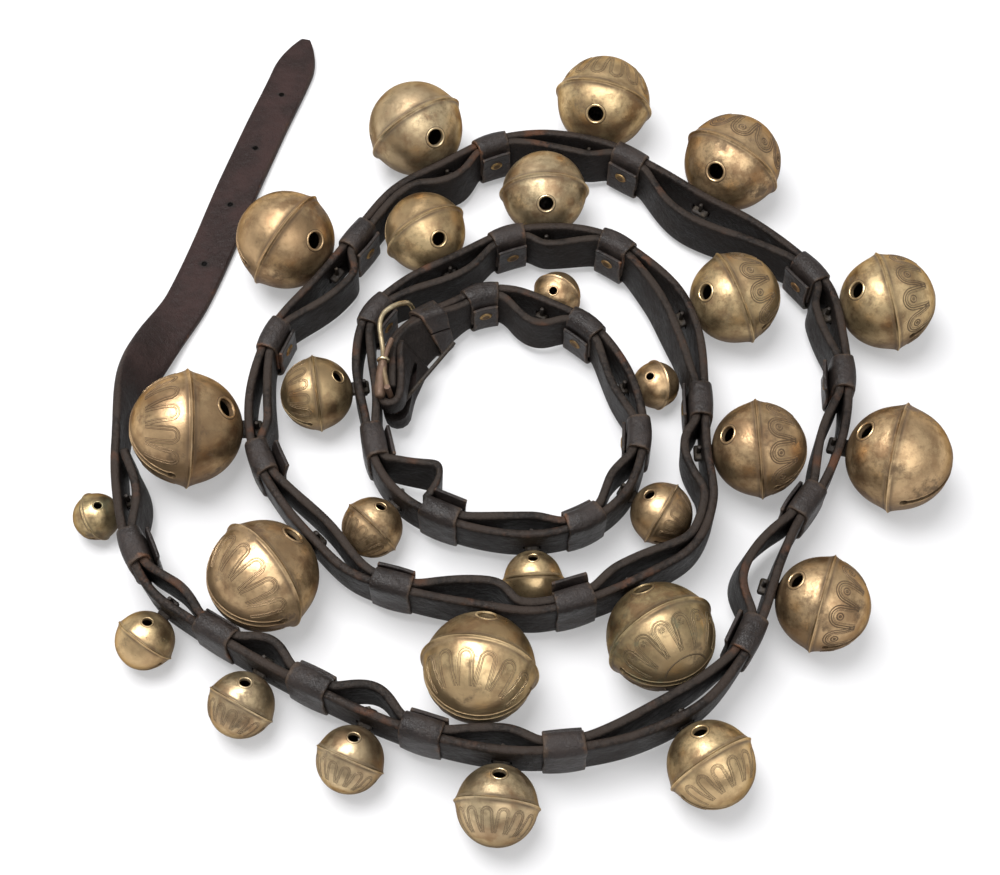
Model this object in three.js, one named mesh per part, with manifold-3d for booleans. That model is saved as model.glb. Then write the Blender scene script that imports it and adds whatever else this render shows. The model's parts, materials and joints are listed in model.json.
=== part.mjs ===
// Harness bell strap: a doubled leather strap coiled on its edge, with a row of
// crotal bells on the outside of the coil, leather keepers between the bells,
// a pointed billet at the outer end and a wire buckle at the inner end.
// Millimetres, +Z up, table at z = 0, origin under the middle of the footprint.
import * as THREE from "three";
import { mergeVertices } from "three/addons/utils/BufferGeometryUtils.js";
import Module from "manifold-3d";

const kernel = await Module();
kernel.setup();

// Leather strap
const strapWidth = 25.4;
const strapThickness = 4.2;
const liningThickness = 4.2;
const layerGap = 0.3;
const ringStep = 21;
const endStep = 7;
const edgeHeightFront = 22;
const edgeHeightBack = 16.2;
const coilHalfWidth = 199;
const coilHalfDepth = 170;

// Billet: the flat, single outer end
const tipWidth = 5;
const tipLength = 24;
const billetStep = 16;
const flatEnd = 205;
const onEdgeFrom = 318;
const restGap = 0.2;
const billetHoles = [48, 92, 136, 180];
const billetHoleRadius = 2.2;

// Keepers round both layers
const keeperLength = 20;
const keeperWall = 2.4;
const keeperLapWall = 3.4;
const keeperStations = [
  378, 444, 498, 557, 625, 738, 819, 902, 974, 1101, 1187, 1291, 1371, 1450,
  1554, 1646, 1801, 1920, 1985, 2076, 2162, 2221, 2297, 2360, 2438, 2502,
];

// Lining: starts past the billet and stops inside the fold at the buckle
const liningStart = 320;
const liningShort = 2;
const liningTouches = [1243, 1620, 1724, 1745];

// Bells: distance along the strap, diameter, and how far the lining stands off there
const bells = [
  [346, 24, 6],
  [413, 29, 6.5],
  [471, 32, 6.5],
  [529, 32, 9],
  [596, 38, 6.5],
  [685, 41.5, 6],
  [770, 46.5, 12],
  [862, 54, 6],
  [947, 51.5, 7],
  [1050, 55.5, 13],
  [1127, 54.5, 7],
  [1218, 55, 8],
  [1314, 55, 10],
  [1426, 58.5, 6],
  [1503, 55.5, 6.2],
  [1604, 54, 10],
  [1676, 53, 6.5],
  [1775, 49, 6.5],
  [1861, 49.5, 8],
  [1962, 48, 7],
  [2023, 45.5, 7],
  [2122, 38.5, 4.8],
  [2195, 31, 17],
  [2269, 29, 6],
  [2329, 32, 7],
  [2396, 25, 6],
  [2465, 26, 11],
];
const bellSegments = 12;
const ridgeBand = 7;
const roomBand = 14;
const soundHoleAngle = 26;
const bellToStrap = 0.9;
const pinRadius = 1.1;
const pinLength = 15;
const lugPastPin = 2.4;
const lugLeastWidth = 4;
const slotSideRoom = 1;
const slotFaceRoom = 0.4;
const peaGap = 0.35;

// Buckle
const foldLeg = 34;
const foldGap = 0.8;
const foldLean = 38;
const foldLift = 3;
const endLean = 8;
const barRadius = 1.6;
const barAhead = 3;
const frameHalf = 18.5;
const frameDepth = 47;
const wireRadius = 1.7;
const frameFold = 10;
const tongueWidth = 4;
const tongueEye = 3.5;
const tongueFold = 28;
const tongueReach = 49;
const tongueRadius = 1.2;
const tongueRoom = 0.4;
const tongueSlot = 8;
const prongSlot = 26;
const loopLength = 13;
const loopWall = 2.2;
const loopBack = 58;
const loopSpans = 2;
const loopRoom = 0.6;

// Route of the strap on the table from the billet tip to the buckle, seen from above,
// in shares of half the coil's width
const routePoints = [
  [-0.6131, 1.4322], [-0.6583, 1.2563], [-0.7186, 1.0603], [-0.7789, 0.8442],
  [-0.8342, 0.6281], [-0.8894, 0.4422], [-0.9497, 0.2915], [-0.9899, 0.1256],
  [-1, -0.0503], [-0.9799, -0.2211], [-0.9246, -0.402], [-0.8543, -0.5176],
  [-0.7538, -0.593], [-0.598, -0.6884], [-0.4573, -0.7638], [-0.2965, -0.8392],
  [-0.1407, -0.8945], [0.0352, -0.9246], [0.206, -0.9146], [0.3417, -0.8794],
  [0.4824, -0.804], [0.5779, -0.6935], [0.6382, -0.5829], [0.6935, -0.4422],
  [0.7487, -0.3317], [0.8291, -0.2161], [0.8945, -0.0754], [0.9246, 0.0653],
  [0.9296, 0.2261], [0.9095, 0.397], [0.8291, 0.5176], [0.7136, 0.6281],
  [0.5779, 0.7186], [0.4422, 0.8241], [0.3065, 0.9095], [0.1256, 0.9447],
  [-0.0251, 0.9196], [-0.1709, 0.8342], [-0.3065, 0.7387], [-0.407, 0.5879],
  [-0.4975, 0.4422], [-0.6181, 0.2613], [-0.6633, 0.0603], [-0.6382, -0.1206],
  [-0.5628, -0.2563], [-0.4724, -0.3668], [-0.3668, -0.4673],
  [-0.2111, -0.5226], [-0.0402, -0.5578], [0.0905, -0.5729], [0.2261, -0.5377],
  [0.3668, -0.4724], [0.4874, -0.392], [0.5427, -0.2663], [0.5377, -0.1106],
  [0.5427, 0.0603], [0.5377, 0.2412], [0.4925, 0.3819], [0.402, 0.4925],
  [0.3015, 0.5729], [0.1759, 0.603], [0.0302, 0.5879], [-0.1357, 0.4975],
  [-0.2714, 0.4121], [-0.3668, 0.2965], [-0.3869, 0.1508], [-0.3568, -0.0101],
  [-0.3166, -0.1658], [-0.2412, -0.2613], [-0.0905, -0.3367], [0.0854, -0.3618],
  [0.2211, -0.3266], [0.3216, -0.2412], [0.3719, -0.1106], [0.3719, 0.0151],
  [0.3317, 0.1508], [0.2462, 0.2764], [0.1407, 0.3417], [0.0302, 0.3869],
  [-0.0603, 0.3819], [-0.1508, 0.3241], [-0.2161, 0.2638], [-0.2663, 0.191],
  [-0.2915, 0.1131], [-0.3015, 0.0503],
];

const UP = new THREE.Vector3(0, 0, 1);
const rad = THREE.MathUtils.degToRad;
const { lerp, clamp, smoothstep } = THREE.MathUtils;

const route = new THREE.CatmullRomCurve3(
  routePoints.map(
    ([x, y]) => new THREE.Vector3(x * coilHalfWidth, y * coilHalfWidth, 0),
  ),
);
route.arcLengthDivisions = 4000;
const strapEnd = route.getLength();

// Solids: a closed geometry becomes a solid, and a solid becomes a geometry again
function toSolid(geometry) {
  const bare = new THREE.BufferGeometry();
  bare.setAttribute("position", geometry.getAttribute("position"));
  if (geometry.index) bare.setIndex(geometry.index);
  const merged = mergeVertices(bare, 1e-4);
  const source = merged.index.array;
  const faces = [];
  for (let i = 0; i < source.length; i += 3) {
    const [a, b, c] = [source[i], source[i + 1], source[i + 2]];
    if (a !== b && b !== c && a !== c) faces.push(a, b, c);
  }
  return new kernel.Manifold(
    new kernel.Mesh({
      numProp: 3,
      vertProperties: merged.getAttribute("position").array,
      triVerts: new Uint32Array(faces),
    }),
  );
}

function toGeometry(solid) {
  const mesh = solid.getMesh();
  const geometry = new THREE.BufferGeometry();
  geometry.setAttribute(
    "position",
    new THREE.BufferAttribute(new Float32Array(mesh.vertProperties), 3),
  );
  geometry.setIndex(new THREE.BufferAttribute(mesh.triVerts, 1));
  geometry.computeVertexNormals();
  return geometry;
}

// A bar through a row of four-cornered sections. Its two wide faces are split the same
// way, so that a layer laid on another follows it where they twist.
function throughSections(sections) {
  const corners = [];
  const faces = [];
  sections.forEach((section) =>
    section.forEach((p) => corners.push(p.x, p.y, p.z)),
  );
  for (let i = 0; i + 1 < sections.length; i += 1) {
    for (let k = 0; k < 4; k += 1) {
      const a = 4 * i + k;
      const b = 4 * i + ((k + 1) % 4);
      if (k === 1) faces.push(a, a + 4, b, b, a + 4, b + 4);
      else faces.push(a, b + 4, b, a, a + 4, b + 4);
    }
  }
  const last = 4 * (sections.length - 1);
  faces.push(0, 1, 2, 0, 2, 3);
  faces.push(last, last + 2, last + 1, last, last + 3, last + 2);
  const geometry = new THREE.BufferGeometry();
  geometry.setAttribute(
    "position",
    new THREE.Float32BufferAttribute(corners, 3),
  );
  geometry.setIndex(faces);
  return geometry;
}

// Frame of the strap at a distance along it. Past the end it runs straight on.
// inward points to the middle of the coil, across points from the lower edge to the upper.
function strapFrame(distance) {
  const held = clamp(distance, 0, strapEnd);
  const along = route.getTangentAt(held / strapEnd);
  const centre = route.getPointAt(held / strapEnd);
  centre.addScaledVector(along, distance - held);
  const flatness = 1 - smoothstep(held, flatEnd, onEdgeFrom);
  const lastKeeper = keeperStations.at(-1) + keeperLength / 2;
  const fold = smoothstep(held, lastKeeper, strapEnd);
  const lean = foldLean * Math.sin(Math.PI * fold) + endLean * fold;
  const turn = rad(90 * flatness + lean);
  const level = new THREE.Vector3(-along.y, along.x, 0);
  const inward = level.clone().multiplyScalar(Math.cos(turn));
  inward.addScaledVector(UP, Math.sin(turn));
  const across = UP.clone().multiplyScalar(Math.cos(turn));
  across.addScaledVector(level, -Math.sin(turn));
  const share = clamp(0.5 + (0.5 * centre.y) / coilHalfDepth, 0, 1);
  const onEdge =
    lerp(edgeHeightFront, edgeHeightBack, share) + foldLift * fold;
  const tilted =
    restGap +
    (strapWidth / 2) * Math.cos(turn) +
    (strapThickness / 2) * Math.sin(turn);
  const lift = (onEdge - strapWidth / 2 - restGap) * (1 - flatness);
  centre.z = flatness > 0 ? tilted + lift : onEdge;
  return { centre, along, inward, across };
}

// Four corners of a strip at a distance along the strap, between two depths from its middle
function stripSection(distance, width, outer, inner) {
  const { centre, inward, across } = strapFrame(distance);
  const corner = (depth, height) =>
    centre
      .clone()
      .addScaledVector(inward, depth)
      .addScaledVector(across, height);
  return [
    corner(inner, -width / 2),
    corner(outer, -width / 2),
    corner(outer, width / 2),
    corner(inner, width / 2),
  ];
}

function steps(from, to, pitch) {
  const count = Math.max(1, Math.round((to - from) / pitch));
  return Array.from({ length: count + 1 }, (_, i) =>
    lerp(from, to, i / count),
  );
}

// Base strap and buckle chape: the pointed billet and the coil, and the end piece that is
// folded back round the buckle bar. They meet inside the last keeper.
const half = strapThickness / 2;
const liningOuter = half + layerGap;
const liningInner = liningOuter + liningThickness;
const legDepth = liningInner + foldGap;
const foldRadius = (legDepth + half) / 2;

function foldSection(angle, back) {
  const { centre, along, inward, across } = strapFrame(strapEnd);
  const turn = new THREE.Vector3()
    .addScaledVector(along, Math.sin(angle))
    .addScaledVector(inward, -Math.cos(angle));
  const spot = centre
    .clone()
    .addScaledVector(along, barAhead - back)
    .addScaledVector(inward, foldRadius);
  const corner = (radius, height) =>
    spot
      .clone()
      .addScaledVector(turn, radius)
      .addScaledVector(across, height);
  return [
    corner(foldRadius - half, -strapWidth / 2),
    corner(foldRadius + half, -strapWidth / 2),
    corner(foldRadius + half, strapWidth / 2),
    corner(foldRadius - half, strapWidth / 2),
  ];
}

function billetWidth(distance) {
  return lerp(tipWidth, strapWidth, clamp(distance / tipLength, 0, 1));
}

// Distances along the strap where both layers have a section, so that they bend alike
function sharedStops() {
  const stops = [liningStart, strapEnd - liningShort];
  keeperStations.forEach((k) =>
    stops.push(k - keeperLength / 2, k + keeperLength / 2),
  );
  stops.push(loopMiddle - loopLength / 2, loopMiddle + loopLength / 2);
  stops.push(...bells.map(([station]) => station), ...liningTouches);
  stops.sort((a, b) => a - b);
  const distances = [stops[0]];
  for (let i = 0; i + 1 < stops.length; i += 1) {
    const pitch = stops[i] > keeperStations.at(-1) ? endStep : ringStep;
    distances.push(...steps(stops[i], stops[i + 1], pitch).slice(1));
  }
  return distances;
}

const joinAt = keeperStations.at(-1);

function joinSection(side) {
  const before = stripSection(
    joinAt - keeperLength / 2,
    strapWidth,
    -half,
    half,
  );
  const after = stripSection(
    joinAt + keeperLength / 2,
    strapWidth,
    -half,
    half,
  );
  const share = 0.5 + (side * layerGap) / (2 * keeperLength);
  return before.map((p, i) => p.clone().lerp(after[i], share));
}

function baseStrapGeometry() {
  const billet = steps(tipLength, liningStart, billetStep).slice(0, -1);
  const coiled = sharedStops().filter((d) => d < joinAt);
  const sections = [...billet, ...coiled].map((d) =>
    stripSection(d, strapWidth, -half, half),
  );
  sections.unshift(stripSection(0, billetWidth(0), -half, half));
  sections.push(joinSection(-1));
  return throughSections(sections);
}

function chapeGeometry() {
  const beyond = sharedStops().filter((d) => d > joinAt);
  const sections = [...beyond, strapEnd].map((d) =>
    stripSection(d, strapWidth, -half, half),
  );
  sections.unshift(joinSection(1));
  for (const degrees of [0, 30, 60, 90, 120, 150, 180]) {
    sections.push(foldSection(rad(degrees), 0));
  }
  const legStart = strapEnd + barAhead - foldLeg;
  const leg = sharedStops().filter((d) => d > legStart);
  for (const d of [...leg, strapEnd].reverse()) {
    sections.push(
      stripSection(d, strapWidth, legDepth + strapThickness, legDepth),
    );
  }
  return throughSections(sections);
}

// A rod between two points
function rod(from, to, radius, sides = 8) {
  const length = from.distanceTo(to);
  const geometry = new THREE.CylinderGeometry(radius, radius, length, sides);
  const turn = new THREE.Quaternion().setFromUnitVectors(
    new THREE.Vector3(0, 1, 0),
    to.clone().sub(from).normalize(),
  );
  geometry.applyQuaternion(turn);
  const middle = from.clone().lerp(to, 0.5);
  return geometry.translate(middle.x, middle.y, middle.z);
}

function billetHole(distance) {
  const { centre, inward } = strapFrame(distance);
  return rod(
    centre.clone().addScaledVector(inward, -strapThickness),
    centre.clone().addScaledVector(inward, strapThickness),
    billetHoleRadius,
  );
}

// Bell proportions from the diameter
function bellSizes(diameter) {
  return {
    radius: diameter / 2,
    wall: 0.045 * diameter + 0.4,
    ridge: 0.022 * diameter + 0.4,
    throat: 0.065 * diameter + 0.4,
    throatEnd: 0.14 * diameter,
    hole: 0.095 * diameter,
    lugWidth: 0.1 * diameter + lugLeastWidth,
    lugThickness: 0.035 * diameter + 1.8,
    pea: 0.17 * diameter,
  };
}

const flatShare = Math.cos(Math.PI / bellSegments);
const roomShare = Math.cos(rad(roomBand)) * flatShare;

// Where a bell hangs: the pin lies along the inside of the base strap, and the bell
// rests on the table, so its axis rises or falls from the pin.
function bellPlace([distance, diameter]) {
  const size = bellSizes(diameter);
  const { centre, along, inward } = strapFrame(distance);
  const outward = inward.clone().negate();
  const pinDepth = half + layerGap + pinRadius;
  const pin = centre.clone().addScaledVector(inward, pinDepth);
  const reach = pinDepth + half + bellToStrap + size.radius;
  let tilt = 0;
  for (let round = 0; round < 20; round += 1) {
    const low = Math.max(
      size.radius * Math.cos(Math.abs(tilt) - rad(ridgeBand)),
      (size.radius + size.ridge) * Math.cos(tilt),
    );
    tilt = Math.atan((low * flatShare - pin.z) / reach);
  }
  const axis = outward.clone().multiplyScalar(Math.cos(tilt));
  axis.addScaledVector(UP, Math.sin(tilt));
  const rise = UP.clone().multiplyScalar(Math.cos(tilt));
  rise.addScaledVector(outward, -Math.sin(tilt));
  const arm = reach / Math.cos(tilt);
  const middle = pin.clone().addScaledVector(axis, arm);
  const matrix = new THREE.Matrix4().makeBasis(along, rise, axis);
  matrix.setPosition(middle);
  return { size, pin, middle, arm, tilt, axis, matrix };
}

// Bell in its own frame: x along the strap, y up the strap's width, z out through the throat.
// The middles of its flats, not their corners, face along the strap and up its width.
function roundBody(stations) {
  const profile = stations.map(
    ([degrees, radius]) =>
      new THREE.Vector2(
        Math.sin(rad(degrees)) * radius,
        -Math.cos(rad(degrees)) * radius,
      ),
  );
  profile.unshift(new THREE.Vector2(0, profile[0].y));
  profile.push(new THREE.Vector2(0, profile.at(-1).y));
  const geometry = new THREE.LatheGeometry(profile, bellSegments);
  geometry.rotateY(Math.PI / bellSegments);
  return geometry.rotateX(Math.PI / 2);
}

function bellGeometry({ size, arm, tilt }) {
  const { radius, wall, ridge } = size;
  const outside = roundBody([
    [20, radius],
    [48, radius],
    [90 - ridgeBand, radius],
    [90, radius + ridge],
    [90 + ridgeBand, radius],
    [132, radius],
    [160, radius],
  ]);
  const room = radius - wall;
  const inside = roundBody(
    [34, 90 - roomBand, 90 + roomBand, 146].map((degrees) => [degrees, room]),
  );
  const throat = new THREE.BoxGeometry(3 * radius, size.throat, 2 * radius);
  throat.translate(0, 0, size.throatEnd + radius);
  const lugStart = 0.9 * radius;
  const lugEnd = arm + lugPastPin;
  const lug = new THREE.BoxGeometry(
    size.lugWidth,
    size.lugThickness,
    lugEnd - lugStart,
  );
  lug.translate(0, 0, -(lugStart + lugEnd) / 2);
  const pinLine = new THREE.Vector3(0, Math.cos(tilt), Math.sin(tilt));
  const pinMiddle = new THREE.Vector3(0, 0, -arm);
  const pin = rod(
    pinMiddle.clone().addScaledVector(pinLine, -pinLength / 2),
    pinMiddle.clone().addScaledVector(pinLine, pinLength / 2),
    pinRadius,
    6,
  );
  let solid = toSolid(outside).subtract(toSolid(inside));
  solid = solid.subtract(toSolid(throat));
  for (const side of [1, -1]) {
    const aim = new THREE.Vector3(
      0,
      side * Math.cos(rad(soundHoleAngle)),
      -Math.sin(rad(soundHoleAngle)),
    );
    const hole = rod(
      aim.clone().multiplyScalar(0.5 * radius),
      aim.clone().multiplyScalar(1.5 * radius),
      size.hole,
      6,
    );
    solid = solid.subtract(toSolid(hole));
  }
  solid = solid.add(toSolid(lug)).add(toSolid(pin));
  return toGeometry(solid);
}

// Slot in the base strap for a bell's lug
function lugSlot({ size, arm, matrix }) {
  const depth = 4 * strapThickness;
  const slot = new THREE.BoxGeometry(
    size.lugWidth + 2 * slotSideRoom,
    size.lugThickness + 2 * slotFaceRoom,
    depth,
  );
  slot.translate(0, 0, -arm + strapThickness);
  return slot.applyMatrix4(matrix);
}

// Pea in a bell: it lies on the lowest flat and rolls round the bell's axis
function clapperGeometry({ size, matrix }) {
  const hang = (size.radius - size.wall) * roomShare - peaGap - size.pea;
  const geometry = new THREE.SphereGeometry(size.pea, 6, 5);
  return geometry.translate(0, -hang, 0).applyMatrix4(matrix);
}

// Lining: touches the base strap at the keepers and stands off it over each bell's lug
const loopMiddle = strapEnd + barAhead - loopBack;

function liningStandOff(distance) {
  let height = 0;
  bells.forEach(([station, , slack]) => {
    const stops = [liningStart + liningShort];
    keeperStations.forEach((k) =>
      stops.push(k - keeperLength / 2, k + keeperLength / 2),
    );
    stops.push(...liningTouches);
    const from = Math.max(...stops.filter((s) => s < station));
    const to = Math.min(...stops.filter((s) => s > station));
    if (distance <= from || distance >= to) return;
    const share =
      distance < station
        ? (distance - from) / (station - from)
        : (to - distance) / (to - station);
    height = Math.max(height, slack * Math.sin((Math.PI / 2) * share));
  });
  return height;
}

function liningGeometry() {
  const sections = sharedStops().map((d) => {
    const off = liningStandOff(d);
    return stripSection(d, strapWidth, liningOuter + off, liningInner + off);
  });
  return throughSections(sections);
}

// Sections with both ends moved straight on, so that a cut runs clear of the faces
function lengthened(sections, extra) {
  const moved = (from, next) =>
    from.map((p, i) =>
      p.clone().add(p.clone().sub(next[i]).setLength(extra)),
    );
  return [
    moved(sections[0], sections[1]),
    ...sections.slice(1, -1),
    moved(sections.at(-1), sections.at(-2)),
  ];
}

// Leather sleeve round the strap, open for the base strap inside it
function sleeve(middle, length, spans, wall, lap, cavityInner, clear) {
  const stops = steps(middle - length / 2, middle + length / 2, length / spans);
  const width = strapWidth + 2 * (clear + wall);
  const outside = stops.map((d) =>
    stripSection(d, width, -half - clear - wall, cavityInner + lap),
  );
  const cavity = stops.map((d) =>
    stripSection(d, strapWidth + 2 * clear, -half - clear, cavityInner),
  );
  return toSolid(throughSections(outside)).subtract(
    toSolid(throughSections(lengthened(cavity, 1))),
  );
}

function liningWithKeepers() {
  let solid = toSolid(liningGeometry());
  for (const k of keeperStations) {
    const overlap = 0.2;
    solid = solid.add(
      sleeve(
        k,
        keeperLength,
        1,
        keeperWall,
        keeperLapWall + overlap,
        liningInner - overlap,
        layerGap,
      ),
    );
  }
  return solid;
}

// Least gap between one turn of the strap and the next, keepers included, on points
// along the middle of its two faces
function leastTurnGap() {
  const pitch = 5;
  const lessThanATurn = 160;
  const points = steps(liningStart, strapEnd, pitch).map((distance) => {
    const { centre, inward } = strapFrame(distance);
    const kept = keeperStations.some(
      (k) => Math.abs(distance - k) <= keeperLength / 2,
    );
    const outer = half + (kept ? layerGap + keeperWall : 0);
    const inner =
      liningInner + liningStandOff(distance) + (kept ? keeperLapWall : 0);
    return {
      distance,
      outside: centre.clone().addScaledVector(inward, -outer),
      inside: centre.clone().addScaledVector(inward, inner),
    };
  });
  let least = Infinity;
  for (const a of points) {
    for (const b of points) {
      if (b.distance - a.distance < lessThanATurn) continue;
      least = Math.min(least, a.inside.distanceTo(b.outside));
    }
  }
  return least;
}

// Buckle on a bar in the fold: a wire bow turned back along the outside of the strap, and
// a tongue turned back along the inside
const end = strapFrame(strapEnd);
const barMiddle = end.centre
  .clone()
  .addScaledVector(end.along, barAhead)
  .addScaledVector(end.inward, foldRadius);

// Point by its distance from the bar, along the bar, and off the face on its side of the strap
function hingePoint(turn, out, side, face) {
  const [along, inward] = [Math.cos(turn), Math.sin(turn)];
  return barMiddle
    .clone()
    .addScaledVector(end.along, -along * out + Math.abs(inward) * face)
    .addScaledVector(end.inward, inward * out + Math.sign(inward) * along * face)
    .addScaledVector(end.across, side);
}

function bucklePoint(out, side) {
  return hingePoint(-rad(frameFold), out, side, 0);
}

function tonguePoint(out, side, face = 0) {
  return hingePoint(rad(tongueFold), out, side, face);
}

function circleShape(radius, sides) {
  const points = [];
  for (let i = 0; i < sides; i += 1) {
    const a = (2 * Math.PI * i) / sides;
    points.push(
      new THREE.Vector2(Math.cos(a) * radius, Math.sin(a) * radius),
    );
  }
  return new THREE.Shape(points);
}

function buckleFrame() {
  const bend = 0.45 * frameHalf;
  const path = new THREE.CatmullRomCurve3([
    bucklePoint(0, frameHalf),
    bucklePoint(0.5 * frameDepth, frameHalf),
    bucklePoint(frameDepth - 0.35 * bend, frameHalf - 0.4 * bend),
    bucklePoint(frameDepth, frameHalf - 1.4 * bend),
    bucklePoint(frameDepth, -frameHalf + 1.4 * bend),
    bucklePoint(frameDepth - 0.35 * bend, -frameHalf + 0.4 * bend),
    bucklePoint(0.5 * frameDepth, -frameHalf),
    bucklePoint(0, -frameHalf),
  ]);
  const bow = new THREE.ExtrudeGeometry(circleShape(wireRadius, 8), {
    steps: 16,
    extrudePath: path,
    bevelEnabled: false,
  });
  const bar = rod(
    bucklePoint(0, -frameHalf - wireRadius),
    bucklePoint(0, frameHalf + wireRadius),
    barRadius,
  );
  return toSolid(bow).add(toSolid(bar));
}

function buckleTongue() {
  const eye = rod(
    tonguePoint(0, -tongueWidth / 2),
    tonguePoint(0, tongueWidth / 2),
    tongueEye,
    12,
  );
  const bore = rod(
    tonguePoint(0, -tongueWidth),
    tonguePoint(0, tongueWidth),
    barRadius + tongueRoom,
    12,
  );
  const face = tongueEye - tongueRadius;
  const prong = rod(
    tonguePoint(0, 0, face),
    tonguePoint(tongueReach, 0, face),
    tongueRadius,
  );
  return toSolid(eye).add(toSolid(prong)).subtract(toSolid(bore));
}

// Slot in the fold for the tongue: right through round the eye, and on through the
// inner leg beside the prong
function foldSlots() {
  const matrix = new THREE.Matrix4().makeBasis(
    end.along,
    end.across,
    end.inward.clone().negate(),
  );
  matrix.setPosition(barMiddle);
  const ahead = foldRadius + strapThickness;
  const back = tongueEye + tongueRoom;
  const eye = new THREE.BoxGeometry(ahead + back, tongueSlot, 6 * foldRadius);
  eye.translate((ahead - back) / 2, 0, 0);
  const prong = new THREE.BoxGeometry(
    prongSlot,
    tongueSlot,
    strapThickness + 2,
  );
  prong.translate(-prongSlot / 2, 0, -foldRadius);
  return [eye.applyMatrix4(matrix), prong.applyMatrix4(matrix)];
}

// Assembly
const materials = {
  leather: { color: 0x3a2f2a, roughness: 0.75, metalness: 0 },
  brass: { color: 0x9a7b45, roughness: 0.4, metalness: 0.9 },
  iron: { color: 0x5a4a40, roughness: 0.7, metalness: 0.6 },
  buckle: { color: 0xc0a878, roughness: 0.35, metalness: 0.9 },
};
for (const [name, look] of Object.entries(materials)) {
  materials[name] = new THREE.MeshStandardMaterial(look);
}

const coil = new THREE.Group();

function addNode(name, geometry, material, pivot = {}) {
  const mesh = new THREE.Mesh(geometry, material);
  mesh.name = name;
  mesh.userData = pivot;
  coil.add(mesh);
  return mesh;
}

const places = bells.map(bellPlace);
let strapSolid = toSolid(baseStrapGeometry());
for (const distance of billetHoles) {
  strapSolid = strapSolid.subtract(toSolid(billetHole(distance)));
}
for (const place of places) {
  strapSolid = strapSolid.subtract(toSolid(lugSlot(place)));
}
addNode("base_strap", toGeometry(strapSolid), materials.leather);
let chapeSolid = toSolid(chapeGeometry());
for (const slot of foldSlots()) {
  chapeSolid = chapeSolid.subtract(toSolid(slot));
}
addNode("buckle_chape", toGeometry(chapeSolid), materials.leather);
addNode(
  "lining_with_keepers",
  toGeometry(liningWithKeepers()),
  materials.leather,
);
const loopInner = liningInner + layerGap;
addNode(
  "billet_loop",
  toGeometry(
    sleeve(
      loopMiddle,
      loopLength,
      loopSpans,
      loopWall,
      loopWall,
      loopInner,
      loopRoom,
    ),
  ),
  materials.leather,
);
addNode("buckle_frame", toGeometry(buckleFrame()), materials.buckle, {
  pivot: barMiddle,
  axis: end.across,
});
addNode("buckle_tongue", toGeometry(buckleTongue()), materials.iron, {
  pivot: barMiddle,
  axis: end.across.clone().negate(),
});
places.forEach((place, i) => {
  const number = String(i + 1).padStart(2, "0");
  const bell = bellGeometry(place).applyMatrix4(place.matrix);
  addNode("bell_" + number, bell, materials.brass, {
    pivot: place.pin,
    axis: UP,
  });
  addNode("clapper_" + number, clapperGeometry(place), materials.iron, {
    pivot: place.middle,
    axis: place.axis,
  });
});

const box = new THREE.Box3().setFromObject(coil);
const middle = box.getCenter(new THREE.Vector3());
coil.position.set(-middle.x, -middle.y, -box.min.z);

const group = new THREE.Group();
group.name = "harness_bell_strap";
group.add(coil);

console.log(
  "least gap between turns of the strap: " + leastTurnGap().toFixed(1) + " mm",
);

export default group;
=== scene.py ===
"""Looks of the harness bell strap: its leather, bells and buckle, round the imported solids."""

import json
import logging
import math
from dataclasses import dataclass, field
from enum import Enum
from typing import Iterable, Sequence

import bpy
import numpy as np
from mathutils import Matrix, Vector, noise


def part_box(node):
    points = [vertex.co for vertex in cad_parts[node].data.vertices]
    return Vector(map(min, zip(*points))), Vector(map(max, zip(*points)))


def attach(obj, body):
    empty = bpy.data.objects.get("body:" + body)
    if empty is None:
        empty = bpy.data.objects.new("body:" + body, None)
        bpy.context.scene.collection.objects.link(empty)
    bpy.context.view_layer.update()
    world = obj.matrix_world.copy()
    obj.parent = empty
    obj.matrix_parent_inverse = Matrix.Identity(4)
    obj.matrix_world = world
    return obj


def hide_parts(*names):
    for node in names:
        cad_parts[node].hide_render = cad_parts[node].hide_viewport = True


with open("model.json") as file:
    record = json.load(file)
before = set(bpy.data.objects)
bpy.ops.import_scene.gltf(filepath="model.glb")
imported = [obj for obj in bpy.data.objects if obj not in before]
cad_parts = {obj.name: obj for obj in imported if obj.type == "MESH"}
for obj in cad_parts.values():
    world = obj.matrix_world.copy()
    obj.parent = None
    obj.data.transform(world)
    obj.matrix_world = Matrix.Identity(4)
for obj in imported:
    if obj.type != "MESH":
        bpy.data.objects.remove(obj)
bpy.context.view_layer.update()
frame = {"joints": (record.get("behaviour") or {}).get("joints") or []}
JOINTS: dict[str, dict] = {joint["name"]: joint for joint in frame["joints"]}
LOG = logging.getLogger("bell_strap")
MM = 0.001
UP = Vector((0.0, 0.0, 1.0))
Colour = tuple[float, float, float]
Spot = tuple[float, float, float]
Line = list[Vector]


# Tools of the bench

def pick(*objects: bpy.types.Object) -> None:
    """Select these objects alone, in object mode, with the first one active.

    Args:
        objects: what to select; none deselects everything.
    """
    active = bpy.context.view_layer.objects.active
    if active is not None and active.mode != "OBJECT":
        bpy.ops.object.mode_set(mode="OBJECT")
    bpy.ops.object.select_all(action="DESELECT")
    for item in objects:
        item.select_set(True)
    if objects:
        bpy.context.view_layer.objects.active = objects[0]


def fresh(name: str) -> bpy.types.Object:
    """Name the primitive that was just added.

    Args:
        name: the piece's name.

    Returns:
        The new object.
    """
    made = bpy.context.object
    made.name = name
    made.data.name = name
    return made


def settle(piece: bpy.types.Object) -> bpy.types.Object:
    """Put a piece's place, turn and scale into its mesh.

    Args:
        piece: the object.

    Returns:
        The same object, at the origin.
    """
    pick(piece)
    bpy.ops.object.transform_apply(location=True, rotation=True, scale=True)
    return piece


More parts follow.
